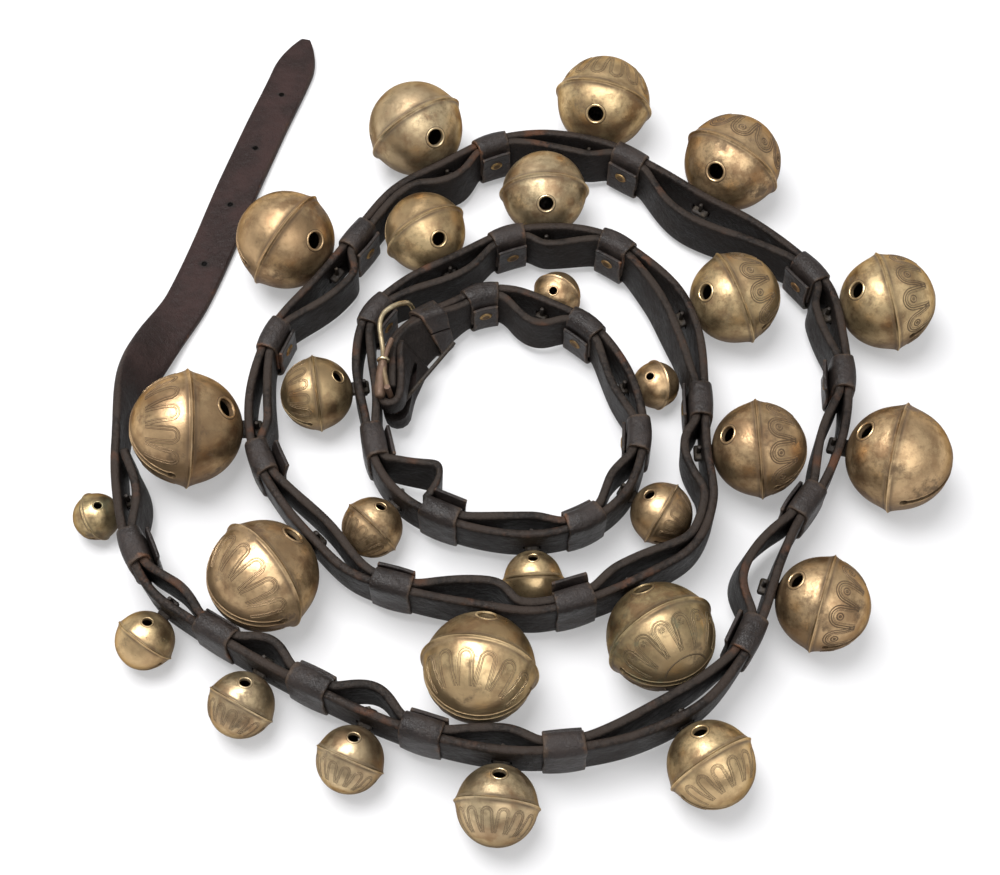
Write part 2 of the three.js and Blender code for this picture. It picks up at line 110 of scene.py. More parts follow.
def block(name: str, sides: Sequence[float], place: Sequence[float]) -> bpy.types.Object:
    """Add a square block.

    Args:
        name: the piece's name.
        sides: its size along X, Y and Z.
        place: its middle.

    Returns:
        The block.
    """
    pick()
    bpy.ops.mesh.primitive_cube_add(size=1.0, location=place)
    made = fresh(name)
    made.scale = sides
    return settle(made)


def rod(name: str, sides: int, radius: float, length: float, place: Sequence[float] = (0, 0, 0),
        turn: Sequence[float] = (0, 0, 0)) -> bpy.types.Object:
    """Add a round rod.

    Args:
        name: the piece's name.
        sides: faces round it.
        radius: its radius.
        length: its length, along Z before the turn.
        place: its middle.
        turn: its rotation in radians.

    Returns:
        The rod.
    """
    pick()
    bpy.ops.mesh.primitive_cylinder_add(vertices=sides, radius=radius, depth=length,
                                        location=place, rotation=turn)
    return settle(fresh(name))


def hoop(name: str, sides: int, radius: float, wire: float, place: Sequence[float],
         axis: Vector) -> bpy.types.Object:
    """Add a round hoop.

    Args:
        name: the piece's name.
        sides: faces round it.
        radius: from its middle to the middle of its wire.
        wire: the wire's radius.
        place: its middle.
        axis: what it goes round.

    Returns:
        The hoop.
    """
    pick()
    bpy.ops.mesh.primitive_torus_add(major_radius=radius, minor_radius=wire,
                                     major_segments=sides, minor_segments=10, location=place,
                                     rotation=axis.to_track_quat("Z", "Y").to_euler())
    return settle(fresh(name))


def finish_with(piece: bpy.types.Object, kind: str, **settings: object) -> None:
    """Add a modifier and apply it.

    Args:
        piece: the object.
        kind: the modifier's type.
        settings: its values.
    """
    pick(piece)
    modifier = piece.modifiers.new(kind.title(), kind)
    for key, value in settings.items():
        setattr(modifier, key, value)
    bpy.ops.object.modifier_apply(modifier=modifier.name)


def tidy_mesh(piece: bpy.types.Object, crisp: float = 40.0) -> None:
    """Merge doubles, turn the faces outwards and smooth the shading.

    Args:
        piece: the object, one closed form or several.
        crisp: edges sharper than this many degrees stay crisp.
    """
    pick(piece)
    bpy.ops.object.mode_set(mode="EDIT")
    bpy.ops.mesh.select_all(action="SELECT")
    bpy.ops.mesh.remove_doubles(threshold=1e-6)
    bpy.ops.mesh.normals_make_consistent(inside=False)
    bpy.ops.object.mode_set(mode="OBJECT")
    bpy.ops.object.shade_smooth_by_angle(angle=math.radians(crisp))


def points_of(piece: bpy.types.Object) -> np.ndarray:
    """Read a mesh's points.

    Args:
        piece: the object.

    Returns:
        An array of n rows and three columns.
    """
    flat = np.empty(len(piece.data.vertices) * 3)
    piece.data.vertices.foreach_get("co", flat)
    return flat.reshape(-1, 3)


def move_points(piece: bpy.types.Object, places: np.ndarray) -> None:
    """Put a mesh's points at new places.

    Args:
        piece: the object.
        places: one row a point.
    """
    piece.data.vertices.foreach_set("co", np.ascontiguousarray(places).ravel())
    piece.data.update()


def mark(piece: bpy.types.Object, name: str, values: np.ndarray | float) -> None:
    """Store a number at each point for a finish to read.

    Args:
        piece: the object.
        name: the attribute.
        values: one value a point, or one for all.
    """
    found = piece.data.attributes.get(name)
    layer = found or piece.data.attributes.new(name, "FLOAT", "POINT")
    count = len(piece.data.vertices)
    layer.data.foreach_set("value", np.broadcast_to(values, count).astype(np.float32))


def twin_of(piece: bpy.types.Object, name: str) -> bpy.types.Object:
    """Copy a modelled shape, with a mesh of its own.

    Args:
        piece: the model.
        name: the copy's name.

    Returns:
        The copy.
    """
    copy = piece.copy()
    copy.data = piece.data.copy()
    copy.name = name
    copy.data.name = name
    bpy.context.scene.collection.objects.link(copy)
    return copy


def joined(name: str, pieces: Sequence[bpy.types.Object]) -> bpy.types.Object:
    """Join several objects into one.

    Args:
        name: the result's name.
        pieces: the objects.

    Returns:
        The joined object.
    """
    pick(*pieces)
    if len(pieces) > 1:
        bpy.ops.object.join()
    return fresh(name)


def cut_away(piece: bpy.types.Object, cutter: bpy.types.Object) -> None:
    """Cut one form out of another and throw the cutter away.

    Args:
        piece: what is cut.
        cutter: closed forms that don't cross each other.
    """
    finish_with(piece, "BOOLEAN", operation="DIFFERENCE", solver="EXACT", object=cutter)
    bpy.data.objects.remove(cutter)


def wires(name: str, lines: Iterable[Line], radius: float, closed: bool = False,
          sides: int = 1) -> bpy.types.Object:
    """Make round wires along lines.

    Args:
        name: the result's name.
        lines: the lines' points.
        radius: half the wire's thickness.
        closed: whether each line joins its own start.
        sides: the bevel resolution of the wire.

    Returns:
        A mesh object of all the wires.
    """
    curve = bpy.data.curves.new(name, "CURVE")
    curve.dimensions = "3D"
    curve.bevel_depth = radius
    curve.bevel_resolution = sides
    curve.use_fill_caps = True
    for line in lines:
        spline = curve.splines.new("POLY")
        spline.points.add(len(line) - 1)
        for point, place in zip(spline.points, line):
            point.co = (*place, 1.0)
        spline.use_cyclic_u = closed
    made = bpy.data.objects.new(name, curve)
    bpy.context.scene.collection.objects.link(made)
    pick(made)
    bpy.ops.object.convert(target="MESH")
    return fresh(name)


def through(points: Sequence[Vector], per_span: int = 8) -> Line:
    """Draw a smooth line through points.

    Args:
        points: at least two places.
        per_span: steps between neighbours.

    Returns:
        The line's points.
    """
    ends = [2 * points[0] - points[1], *points, 2 * points[-1] - points[-2]]
    line = []
    for before, start, stop, after in zip(ends, ends[1:], ends[2:], ends[3:]):
        for step in range(per_span):
            t = step / per_span
            bend = (2 * start + (stop - before) * t
                    + (2 * before - 5 * start + 4 * stop - after) * t * t
                    + (3 * start - before - 3 * stop + after) * t * t * t)
            line.append(bend * 0.5)
    return [*line, points[-1].copy()]


def hang_on(piece: bpy.types.Object, body: str, material: bpy.types.Material,
            nodes: Sequence[str] = ()) -> None:
    """Dress a piece, let it ride on a body and stand for its solids.

    Args:
        piece: the finished object.
        body: the body it moves with.
        material: its finish.
        nodes: the solids it stands for.
    """
    piece.data.materials.clear()
    piece.data.materials.append(material)
    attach(piece, body)
    if nodes:
        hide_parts(*nodes)
    LOG.info("%s: %d faces", piece.name, len(piece.data.polygons))


# Finishes

class Shader:
    """The node tree of one finish, built up from patterns."""

    def __init__(self, name: str) -> None:
        """Start a finish with a plain surface."""
        self.material = bpy.data.materials.new(name)
        self.material.use_nodes = True
        self.tree = self.material.node_tree
        self.surface = self.tree.nodes["Principled BSDF"]
        self.place = self.tree.nodes.new("ShaderNodeTexCoord").outputs["Object"]

    def feed(self, socket: bpy.types.NodeSocket, value: object) -> None:
        """Link a value that is a socket, or set one that is a constant.

        Args:
            socket: the input.
            value: a socket, a colour, a vector or a number.
        """
        if isinstance(value, bpy.types.NodeSocket):
            self.tree.links.new(value, socket)
        elif isinstance(value, tuple) and socket.type == "RGBA":
            socket.default_value = (*value, 1.0)
        else:
            socket.default_value = value

    def node(self, kind: str, inputs: dict[str | int, object],
             **settings: object) -> bpy.types.Node:
        """Add a node.

        Args:
            kind: its type.
            inputs: input name or index to value.
            settings: the node's own properties.

        Returns:
            The node.
        """
        made = self.tree.nodes.new(kind)
        for key, value in settings.items():
            setattr(made, key, value)
        for key, value in inputs.items():
            self.feed(made.inputs[key], value)
        return made

    def noise(self, scale: float, detail: float = 4.0, rough: float = 0.55,
              stretch: Spot | None = None) -> bpy.types.NodeSocket:
        """Cloudy pattern.

        Args:
            scale: clouds to the metre.
            detail: levels of finer clouds.
            rough: their strength.
            stretch: how the pattern is scaled along X, Y and Z.

        Returns:
            A value about 0 to 1.
        """
        place = self.place
        if stretch:
            place = self.node("ShaderNodeMapping", {"Vector": place, "Scale": stretch}).outputs[0]
        inputs = {"Vector": place, "Scale": scale, "Detail": detail, "Roughness": rough}
        return self.node("ShaderNodeTexNoise", inputs).outputs[0]

    def cells(self, scale: float, feature: str = "F1") -> bpy.types.NodeSocket:
        """Cell pattern: the distance to the nearest seed, or to the cell's edge."""
        return self.node("ShaderNodeTexVoronoi", {"Vector": self.place, "Scale": scale},
                         feature=feature).outputs["Distance"]

    def ramp(self, value: bpy.types.NodeSocket, low: float, high: float,
             start: float = 0.0, stop: float = 1.0) -> bpy.types.NodeSocket:
        """Turn the range low to high into start to stop, smoothly and with its ends held."""
        inputs = {"Value": value, 1: low, 2: high, 3: start, 4: stop}
        return self.node("ShaderNodeMapRange", inputs,
                         interpolation_type="SMOOTHSTEP").outputs[0]

    def blend(self, amount: object, under: object, over: object,
              mode: str = "MIX") -> bpy.types.NodeSocket:
        """Lay one colour over another."""
        made = self.node("ShaderNodeMix", {0: amount, 6: under, 7: over}, data_type="RGBA",
                         blend_type=mode)
        return made.outputs[2]

    def sum(self, operation: str, one: object, two: object) -> bpy.types.NodeSocket:
        """Work out two values with a named operation."""
        return self.node("ShaderNodeMath", {0: one, 1: two}, operation=operation).outputs[0]

    def mark(self, name: str) -> bpy.types.NodeSocket:
        """Read a number that is stored at the mesh's points."""
        return self.node("ShaderNodeAttribute", {}, attribute_name=name).outputs["Fac"]

    def relief(self, height: object, depth: float, strength: float,
               over: bpy.types.NodeSocket | None = None) -> bpy.types.NodeSocket:
        """Give the surface a fine relief.

        Args:
            height: the pattern.
            depth: its height in metres.
            strength: its share.
            over: a coarser relief below it.

        Returns:
            The bent normal.
        """
        inputs = {"Height": height, "Distance": depth, "Strength": strength}
        if over is not None:
            inputs["Normal"] = over
        return self.node("ShaderNodeBump", inputs).outputs[0]

    def dress(self, **inputs: object) -> bpy.types.Material:
        """Feed the surface's sockets by name, with spaces written as underscores."""
        for key, value in inputs.items():
            self.feed(self.surface.inputs[key.replace("_", " ")], value)
        return self.material


@dataclass(frozen=True)
class Leather:
    """Old oiled harness leather, worn brown at its edges."""

    name: str
    deep: Colour
    face: Colour
    worn: Colour
    rust: Colour
    wear: float = 0.85
    dullness: float = 0.5
    sheen: float = 0.12
    tail: Colour | None = None
    blotch_scale: float = 44.0
    stain_scale: float = 58.0
    crease_scale: float = 190.0
    fine_scale: float = 520.0
    grain_scale: float = 760.0

    def material(self) -> bpy.types.Material:
        """Build the finish.

        Returns:
            The material.
        """
        shader = Shader(self.name)
        blotch = shader.noise(self.blotch_scale, 5.0, 0.62)
        fine = shader.noise(self.fine_scale, 5.0, 0.62)
        colour = shader.blend(shader.ramp(blotch, 0.36, 0.66), self.deep, self.face)
        colour = shader.blend(shader.ramp(fine, 0.52, 0.8, 0.0, 0.3), colour, self.worn)
        if self.tail:
            shade = shader.blend(shader.ramp(blotch, 0.36, 0.66, 0.55, 0.0), self.tail, self.deep)
            colour = shader.blend(shader.mark("tail"), colour, shade)
        rub = shader.sum("ADD", shader.mark("edge"), shader.ramp(blotch, 0.3, 0.7, -0.4, 0.25))
        rub = shader.sum("ADD", rub, shader.ramp(fine, 0.3, 0.7, -0.2, 0.2))
        colour = shader.blend(shader.ramp(rub, 0.45, 1.05, 0.0, self.wear), colour, self.worn)
        stain = shader.ramp(shader.noise(self.stain_scale, 3.0, 0.5), 0.56, 0.72, 0.0, 0.85)
        stain = shader.sum("MULTIPLY", stain, shader.ramp(rub, 0.45, 0.95))
        colour = shader.blend(stain, colour, self.rust)
        grain = shader.cells(self.grain_scale, "DISTANCE_TO_EDGE")
        crease = shader.noise(self.crease_scale, 4.0, 0.6)
        normal = shader.relief(shader.ramp(crease, 0.35, 0.65), 0.0008, 0.4)
        normal = shader.relief(shader.ramp(grain, 0.0, 0.12), 0.00018, 0.45, normal)
        normal = shader.relief(fine, 0.0003, 0.4, normal)
        gloss = shader.ramp(blotch, 0.3, 0.72, self.dullness - 0.1, self.dullness + 0.16)
        return shader.dress(Base_Color=colour, Roughness=gloss, Normal=normal,
                            Specular_IOR_Level=self.sheen)


@dataclass(frozen=True)
class Brass:
    """Aged brass with a brown patina, pits, and a dark mark of dirt and painted shade in the
    hollows.
    """

    name: str
    bright: Colour
    brown: Colour
    grime_and_painted_shade: Colour
    blush: Colour
    green: float = 0.0
    gloss: float = 0.34
    soiled: float = 0.535
    tarnish: Colour = (0.255, 0.148, 0.078)
    rim: Colour = (0.36, 0.26, 0.17)
    verdigris: Colour = (0.15, 0.17, 0.11)
    broad_scale: float = 34.0
    flush_scale: float = 44.0
    stain_scale: float = 58.0
    tarnish_scale: float = 66.0
    bloom_scale: float = 80.0
    cloud_scale: float = 95.0
    brush_scale: float = 260.0
    brush_stretch: Spot = (1.0, 1.0, 0.12)
    mottle_scale: float = 330.0
    pit_scale: float = 330.0
    fine_scale: float = 900.0

    def material(self) -> bpy.types.Material:
        """Build the finish.

        Returns:
            The material.
        """
        shader = Shader(self.name)
        broad = shader.noise(self.broad_scale, 3.0, 0.5)
        cloud = shader.noise(self.cloud_scale, 6.0, 0.66)
        fine = shader.noise(self.fine_scale, 4.0, 0.6)
        brushed = shader.noise(self.brush_scale, 4.0, 0.6, self.brush_stretch)
        colour = shader.blend(shader.ramp(broad, 0.3, 0.62), self.brown, self.bright)
        colour = shader.blend(shader.ramp(cloud, 0.48, 0.72, 0.0, 0.75), colour, self.brown)
        mottle = shader.noise(self.mottle_scale, 6.0, 0.7)
        colour = shader.blend(shader.ramp(mottle, 0.45, 0.66, 0.0, 0.78), colour, self.brown)
        dulled = shader.ramp(shader.noise(self.tarnish_scale, 5.0, 0.62), 0.46, 0.64, 0.0, 0.72)
        colour = shader.blend(dulled, colour, self.tarnish)
        flush = shader.ramp(shader.noise(self.flush_scale, 3.0, 0.5), 0.36, 0.66, 0.05, 0.6)
        colour = shader.blend(shader.sum("MULTIPLY", flush, shader.mark("outer")), colour,
                              self.blush)
        pits = shader.ramp(shader.cells(self.pit_scale), 0.05, 0.15, 0.9, 0.0)
        pits = shader.sum("MULTIPLY", pits, shader.ramp(cloud, 0.52, 0.68))
        stain = shader.ramp(shader.noise(self.stain_scale, 6.0, 0.68), self.soiled,
                            self.soiled + 0.17, 0.0, 0.8)
        # The stored dark mark holds dirt and rust, and also painted shade: the bells' lower
        # halves, grooves and hole-rim feet.
        soil_and_shade = shader.sum("MAXIMUM", shader.sum("MAXIMUM", pits, stain), shader.mark("grime_and_painted_shade"))
        colour = shader.blend(soil_and_shade, colour, self.grime_and_painted_shade)
        # Crest, hole lips and raised lines are painted lighter: rubbed wear and a painted
        # highlight.
        colour = shader.blend(shader.mark("rub_and_highlight"), colour, self.bright)
        if self.green > 0.0:
            bloom = shader.noise(self.bloom_scale, 5.0, 0.6)
            bloom = shader.ramp(bloom, 0.56, 0.68, 0.0, self.green)
            colour = shader.blend(bloom, colour, self.verdigris)
        rough = shader.ramp(cloud, 0.3, 0.75, self.gloss - 0.06, self.gloss + 0.16)
        rough = shader.sum("ADD", rough, shader.ramp(soil_and_shade, 0.2, 1.0, 0.0, 0.2))
        normal = shader.relief(shader.sum("ADD", cloud, shader.sum("MULTIPLY", mottle, 0.4)),
                               0.0009, 0.33)
        normal = shader.relief(shader.sum("ADD", fine, brushed), 0.0001, 0.3, normal)
        normal = shader.relief(pits, -0.0003, 0.5, normal)
        return shader.dress(Base_Color=colour, Metallic=shader.ramp(soil_and_shade, 0.1, 0.9, 0.92, 0.35),
                            Roughness=rough, Normal=normal, Specular_Tint=self.rim)


@dataclass(frozen=True)
class RustyIron:
    """Iron with brown rust over it."""

    name: str
    steel: Colour
    rust: Colour
    crust: Colour
    cloud_scale: float = 170.0
    fine_scale: float = 900.0

    def material(self) -> bpy.types.Material:
        """Build the finish.

        Returns:
            The material.
        """
        shader = Shader(self.name)
        cloud = shader.noise(self.cloud_scale, 6.0, 0.66)
        fine = shader.noise(self.fine_scale, 5.0, 0.6)
        cover = shader.ramp(cloud, 0.36, 0.56)
        colour = shader.blend(cover, self.steel, self.rust)
        colour = shader.blend(shader.ramp(fine, 0.5, 0.72, 0.0, 0.8), colour, self.crust)
        normal = shader.relief(shader.sum("ADD", cloud, fine), 0.0005, 0.5)
        return shader.dress(Base_Color=colour, Metallic=shader.ramp(cover, 0.0, 1.0, 0.75, 0.25),
                            Roughness=shader.ramp(fine, 0.3, 0.7, 0.5, 0.75), Normal=normal)


STRAP_LEATHER = Leather("strap_leather", (0.0085, 0.0066, 0.0058), (0.0165, 0.0127, 0.0112),
                        (0.038, 0.027, 0.021), (0.07, 0.03, 0.016), 0.55,
                        tail=(0.032, 0.018, 0.0165))
LINING_LEATHER = Leather("lining_leather", (0.0085, 0.0068, 0.006), (0.0165, 0.013, 0.0115),
                         (0.038, 0.028, 0.022), (0.06, 0.028, 0.016), 0.55, 0.54)
KEEPER_LEATHER = Leather("keeper_leather", (0.0125, 0.0096, 0.0088), (0.0265, 0.0202, 0.0182),
                         (0.064, 0.042, 0.028), (0.115, 0.048, 0.022), 0.68, 0.46, 0.24)


class Patina(Enum):
    """How a bell has aged."""

    GOLDEN = Brass("golden_bell_brass", (0.74, 0.555, 0.305), (0.395, 0.275, 0.147),
                   (0.066, 0.046, 0.03), (0.61, 0.432, 0.238), 0.0, 0.33)
    BROWN = Brass("brown_bell_brass", (0.655, 0.465, 0.262), (0.335, 0.22, 0.12),
                  (0.06, 0.04, 0.026), (0.55, 0.37, 0.205), 0.0, 0.34, 0.505)
    PALE = Brass("pale_bell_brass", (0.675, 0.53, 0.322), (0.375, 0.278, 0.166),
                 (0.066, 0.048, 0.033), (0.59, 0.44, 0.27), 0.0, 0.36)
    GREENED = Brass("greened_bell_brass", (0.5, 0.385, 0.208), (0.24, 0.174, 0.094),
                    (0.05, 0.038, 0.025), (0.425, 0.3, 0.164), 0.5, 0.34, 0.51)


BUCKLE_BRASS = Brass("buckle_brass", (0.72, 0.62, 0.42), (0.5, 0.4, 0.24), (0.09, 0.06, 0.035),
                     (0.6, 0.48, 0.3), 0.0, 0.28)
RIVET_BRASS = Brass("rivet_brass", (0.4, 0.27, 0.12), (0.2, 0.13, 0.065), (0.05, 0.033, 0.02),
                    (0.34, 0.2, 0.1), 0.0, 0.42)
PIN_IRON = RustyIron("pin_iron", (0.04, 0.031, 0.022), (0.016, 0.011, 0.008),
                     (0.026, 0.018, 0.012))
TONGUE_IRON = RustyIron("tongue_iron", (0.13, 0.086, 0.06), (0.1, 0.055, 0.034),
                        (0.17, 0.1, 0.062))
PEA_IRON = RustyIron("pea_iron", (0.07, 0.06, 0.055), (0.045, 0.028, 0.02), (0.07, 0.038, 0.022))


# The strap's route

ROUTE_POINTS = [
    (-122, 285), (-131, 250), (-143, 211), (-155, 168), (-166, 125), (-177, 88), (-189, 58),
    (-197, 25), (-199, -10), (-195, -44), (-184, -80), (-170, -103), (-150, -118), (-119, -137),
    (-91, -152), (-59, -167), (-28, -178), (7, -184), (41, -182), (68, -175), (96, -160),
    (115, -138), (127, -116), (138, -88), (149, -66), (165, -43), (178, -15), (184, 13),
    (185, 45), (181, 79), (165, 103), (142, 125), (115, 143), (88, 164), (61, 181), (25, 188),
    (-5, 183), (-34, 166), (-61, 147), (-81, 117), (-99, 88), (-123, 52), (-132, 12),
    (-127, -24), (-112, -51), (-94, -73), (-73, -93), (-42, -104), (-8, -111), (18, -114),
    (45, -107), (73, -94), (97, -78), (108, -53), (107, -22), (108, 12), (107, 48), (98, 76),
    (80, 98), (60, 114), (35, 120), (6, 117), (-27, 99), (-54, 82), (-73, 59), (-77, 30),
    (-71, -2), (-63, -33), (-48, -52), (-18, -67), (17, -72), (44, -65), (64, -48), (74, -22),
    (74, 3), (66, 30), (49, 55), (28, 68), (6, 77), (-12, 76), (-30, 64.5), (-43, 52.5), (-53, 38),
    (-58, 22.5), (-60, 10),
]


def smooth(values: np.ndarray, low: float, high: float) -> np.ndarray:
    """Rise smoothly from 0 at low to 1 at high.

    Args:
        values: where to read it.
        low: start of the rise.
        high: end of the rise.

    Returns:
        Values from 0 to 1.
    """
    share = np.clip((values - low) / (high - low), 0.0, 1.0)
    return share * share * (3.0 - 2.0 * share)


@dataclass
class Route:
    """Centre line of the base strap, and the strap's frame at any distance along it."""

    shift: tuple[float, float] = (-8.8004 * MM, -30.8196 * MM)
    width: float = 25.4 * MM
    thickness: float = 4.2 * MM
    flat_end: float = 205 * MM
    on_edge: float = 318 * MM
    fold_from: float = 2512 * MM
    rest_gap: float = 0.2 * MM
    height_front: float = 22 * MM
    height_back: float = 16.2 * MM
    half_depth: float = 170 * MM
    fold_lean: float = 38.0
    end_lean: float = 8.0
    fold_lift: float = 3 * MM
    bar_ahead: float = 3 * MM
    fold_radius: float = 4.75 * MM
    leg_depth: float = 7.4 * MM
    sway: tuple[Spot, ...] = ((17.0, 1.0, 1.8), (33.0, 2.2, 1.2))
    sway_fade: float = 60 * MM
    line_points: int = 16001
    table_size: int = 5200
    length: float = field(init=False)

    def __post_init__(self) -> None:
        """Tabulate the line by distance."""
        knots = np.array(ROUTE_POINTS, float) * MM
        first, last = 2 * knots[0] - knots[1], 2 * knots[-1] - knots[-2]
        padded = np.vstack([first, knots, last])
        share = np.linspace(0.0, len(knots) - 1.0, self.line_points)
        index = np.minimum(share.astype(int), len(knots) - 2)
        weight = (share - index)[:, None]
        a, b, c, d = (padded[index + k] for k in range(4))
        gap = [np.linalg.norm(q - p, axis=1)[:, None] ** 0.5 for p, q in ((a, b), (b, c), (c, d))]
        leave = (b - a) / gap[0] - (c - a) / (gap[0] + gap[1]) + (c - b) / gap[1]
        arrive = (c - b) / gap[1] - (d - b) / (gap[1] + gap[2]) + (d - c) / gap[2]
        leave, arrive = leave * gap[1], arrive * gap[1]
        line = (b + leave * weight + (3 * (c - b) - 2 * leave - arrive) * weight ** 2
                + (2 * (b - c) + leave + arrive) * weight ** 3)
        run = np.concatenate([[0.0], np.cumsum(np.linalg.norm(np.diff(line, axis=0), axis=1))])
        self.length = float(run[-1])
        self.stops = np.linspace(0.0, self.length, self.table_size)
        self.line = np.column_stack([np.interp(self.stops, run, line[:, k]) for k in (0, 1)])
        heading = np.gradient(self.line, axis=0)
        self.heading = heading / np.linalg.norm(heading, axis=1)[:, None]

    def frames(self, distance: np.ndarray) -> tuple[np.ndarray, ...]:
        """Find the strap's frame.

        Args:
            distance: places along the strap, in metres.

        Returns:
            Centre, along, inward and across, one row each.
        """
        held = np.clip(distance, 0.0, self.length)
        flat = [np.column_stack([np.interp(held, self.stops, table[:, k]) for k in (0, 1)])
                for table in (self.line, self.heading)]
        along = np.column_stack([flat[1], np.zeros(len(held))])
        along /= np.linalg.norm(along, axis=1)[:, None]
        level = np.column_stack([-along[:, 1], along[:, 0], np.zeros(len(held))])
        flatness = 1.0 - smooth(held, self.flat_end, self.on_edge)
        fold = smooth(held, self.fold_from, self.length)
        sway = sum(np.sin(held * rate + start) * size for rate, start, size in self.sway)
        sway *= 1.0 - flatness
        sway *= 1.0 - smooth(held, self.fold_from - self.sway_fade, self.fold_from)
        lean = self.fold_lean * np.sin(np.pi * fold) + self.end_lean * fold
        turn = np.radians(90.0 * flatness + lean + sway)[:, None]
        up = np.array([[0.0, 0.0, 1.0]])
        inward = level * np.cos(turn) + up * np.sin(turn)
        across = up * np.cos(turn) - level * np.sin(turn)
        part = np.clip(0.5 + 0.5 * flat[0][:, 1] / self.half_depth, 0.0, 1.0)
        on_edge = self.height_front + (self.height_back - self.height_front) * part
        on_edge = on_edge + self.fold_lift * fold
        tilted = (self.rest_gap + self.width / 2 * np.cos(turn[:, 0])
                  + self.thickness / 2 * np.sin(turn[:, 0]))
        lift = (on_edge - self.width / 2 - self.rest_gap) * (1.0 - flatness)
        height = np.where(flatness > 0.0, tilted + lift, on_edge)
        centre = np.column_stack([flat[0] + np.array(self.shift), height])
        return centre + along * (distance - held)[:, None], along, inward, across

    def lay(self, distance: np.ndarray, depth: np.ndarray, height: np.ndarray) -> np.ndarray:
        """Place points of the coil.

        Args:
            distance: along the strap.
            depth: from the base strap's middle towards the middle of the coil.
            height: from the strap's middle towards its upper edge.

        Returns:
            One place a row.
        """
        centre, _, inward, across = self.frames(distance)
        return centre + inward * depth[:, None] + across * height[:, None]

    def lay_folded(self, run: np.ndarray, depth: np.ndarray, height: np.ndarray) -> np.ndarray:
        """Place points of the base strap, which folds round the bar and comes back.

        Args:
            run: along the strap and on round the fold.
            depth: from the strap's middle towards the side that faces into the fold.
            height: from the strap's middle towards its upper edge.

        Returns:
            One place a row.
        """
        turn_at = self.length + self.bar_ahead
        round_at = turn_at + math.pi * self.fold_radius
        back = np.maximum(run - round_at, 0.0)
        main = self.lay(np.minimum(run, turn_at), depth, height)
        leg_middle = self.leg_depth + self.thickness / 2
        leg = self.lay(turn_at - back, leg_middle - depth, height)
        centre, along, inward, across = self.frames(np.full(len(run), self.length))
        angle = np.clip((run - turn_at) / self.fold_radius, 0.0, math.pi)[:, None]
        spoke = along * np.sin(angle) - inward * np.cos(angle)
        bend = (centre + along * self.bar_ahead + inward * self.fold_radius
                + spoke * (self.fold_radius - depth)[:, None] + across * height[:, None])
        places = np.where((run < turn_at)[:, None], main, bend)
        return np.where((run > round_at)[:, None], leg, places)

    def spot(self, distance: float, depth: float = 0.0, height: float = 0.0) -> Matrix:
        """Frame of one place on the strap.

        Args:
            distance: along the strap.
            depth: towards the middle of the coil.
            height: towards the upper edge.

        Returns:
            A matrix whose axes run along the strap, up its width and outwards.
        """
        centre, along, inward, across = (Vector(v[0]) for v in self.frames(np.array([distance])))
        made = Matrix((along, across, -inward)).transposed().to_4x4()
        made.translation = centre + inward * depth + across * height
        return made


ROUTE = Route()


# Bells

class Ornament(Enum):
    """Cast pattern on a bell's outer half."""

    PLAIN = "plain"
    PETALS = "double petals"
    STARS = "petals with a star"
    EYES = "petals with an eye"


@dataclass(frozen=True)
class Bell:
    """One bell: its place, size and the lining's stand-off in millimetres, and its looks."""

    station: float
    diameter: float
    slack: float
    ornament: Ornament
    patina: Patina

    @property
    def ridge(self) -> float:
        """How far the solid's crest stands off, in millimetres."""
        return 0.022 * self.diameter + 0.4

    @property
    def shank(self) -> tuple[float, float]:
        """Width and thickness of the shank, in metres."""
        return (0.1 * self.diameter + 4.0) * MM, (0.035 * self.diameter + 1.8) * MM


BELLS = [
    Bell(346, 24, 6, Ornament.PLAIN, Patina.GREENED),
    Bell(413, 29, 6.5, Ornament.PLAIN, Patina.GOLDEN),
    Bell(471, 32, 6.5, Ornament.PETALS, Patina.PALE),
    Bell(529, 32, 9, Ornament.PETALS, Patina.PALE),
    Bell(596, 38, 6.5, Ornament.PETALS, Patina.PALE),
    Bell(685, 41.5, 6, Ornament.PETALS, Patina.GOLDEN),
    Bell(770, 46.5, 12, Ornament.EYES, Patina.BROWN),
    Bell(862, 54, 6, Ornament.PLAIN, Patina.BROWN),
    Bell(947, 51.5, 7, Ornament.EYES, Patina.GOLDEN),
    Bell(1050, 55.5, 13, Ornament.EYES, Patina.BROWN),
    Bell(1127, 54.5, 7, Ornament.PETALS, Patina.GOLDEN),
    Bell(1218, 55, 8, Ornament.PLAIN, Patina.PALE),
    Bell(1314, 55, 10, Ornament.PLAIN, Patina.BROWN),
    Bell(1426, 58.5, 6, Ornament.PETALS, Patina.BROWN),
    Bell(1503, 55.5, 6.2, Ornament.PETALS, Patina.BROWN),
    Bell(1604, 54, 8.8, Ornament.PETALS, Patina.GOLDEN),
    Bell(1676, 53, 6.5, Ornament.STARS, Patina.GREENED),
    Bell(1775, 49, 6.5, Ornament.EYES, Patina.BROWN),
    Bell(1861, 49.5, 8, Ornament.EYES, Patina.GOLDEN),
    Bell(1962, 48, 7, Ornament.PLAIN, Patina.PALE),
    Bell(2023, 45.5, 7, Ornament.PLAIN, Patina.GOLDEN),
    Bell(2122, 38.5, 4.8, Ornament.PETALS, Patina.GOLDEN),
    Bell(2195, 31, 17, Ornament.PETALS, Patina.BROWN),
    Bell(2269, 29, 6, Ornament.PLAIN, Patina.GOLDEN),
    Bell(2329, 32, 7, Ornament.PETALS, Patina.BROWN),
    Bell(2396, 25, 6, Ornament.PLAIN, Patina.BROWN),
    Bell(2465, 26, 11, Ornament.PLAIN, Patina.BROWN),
]


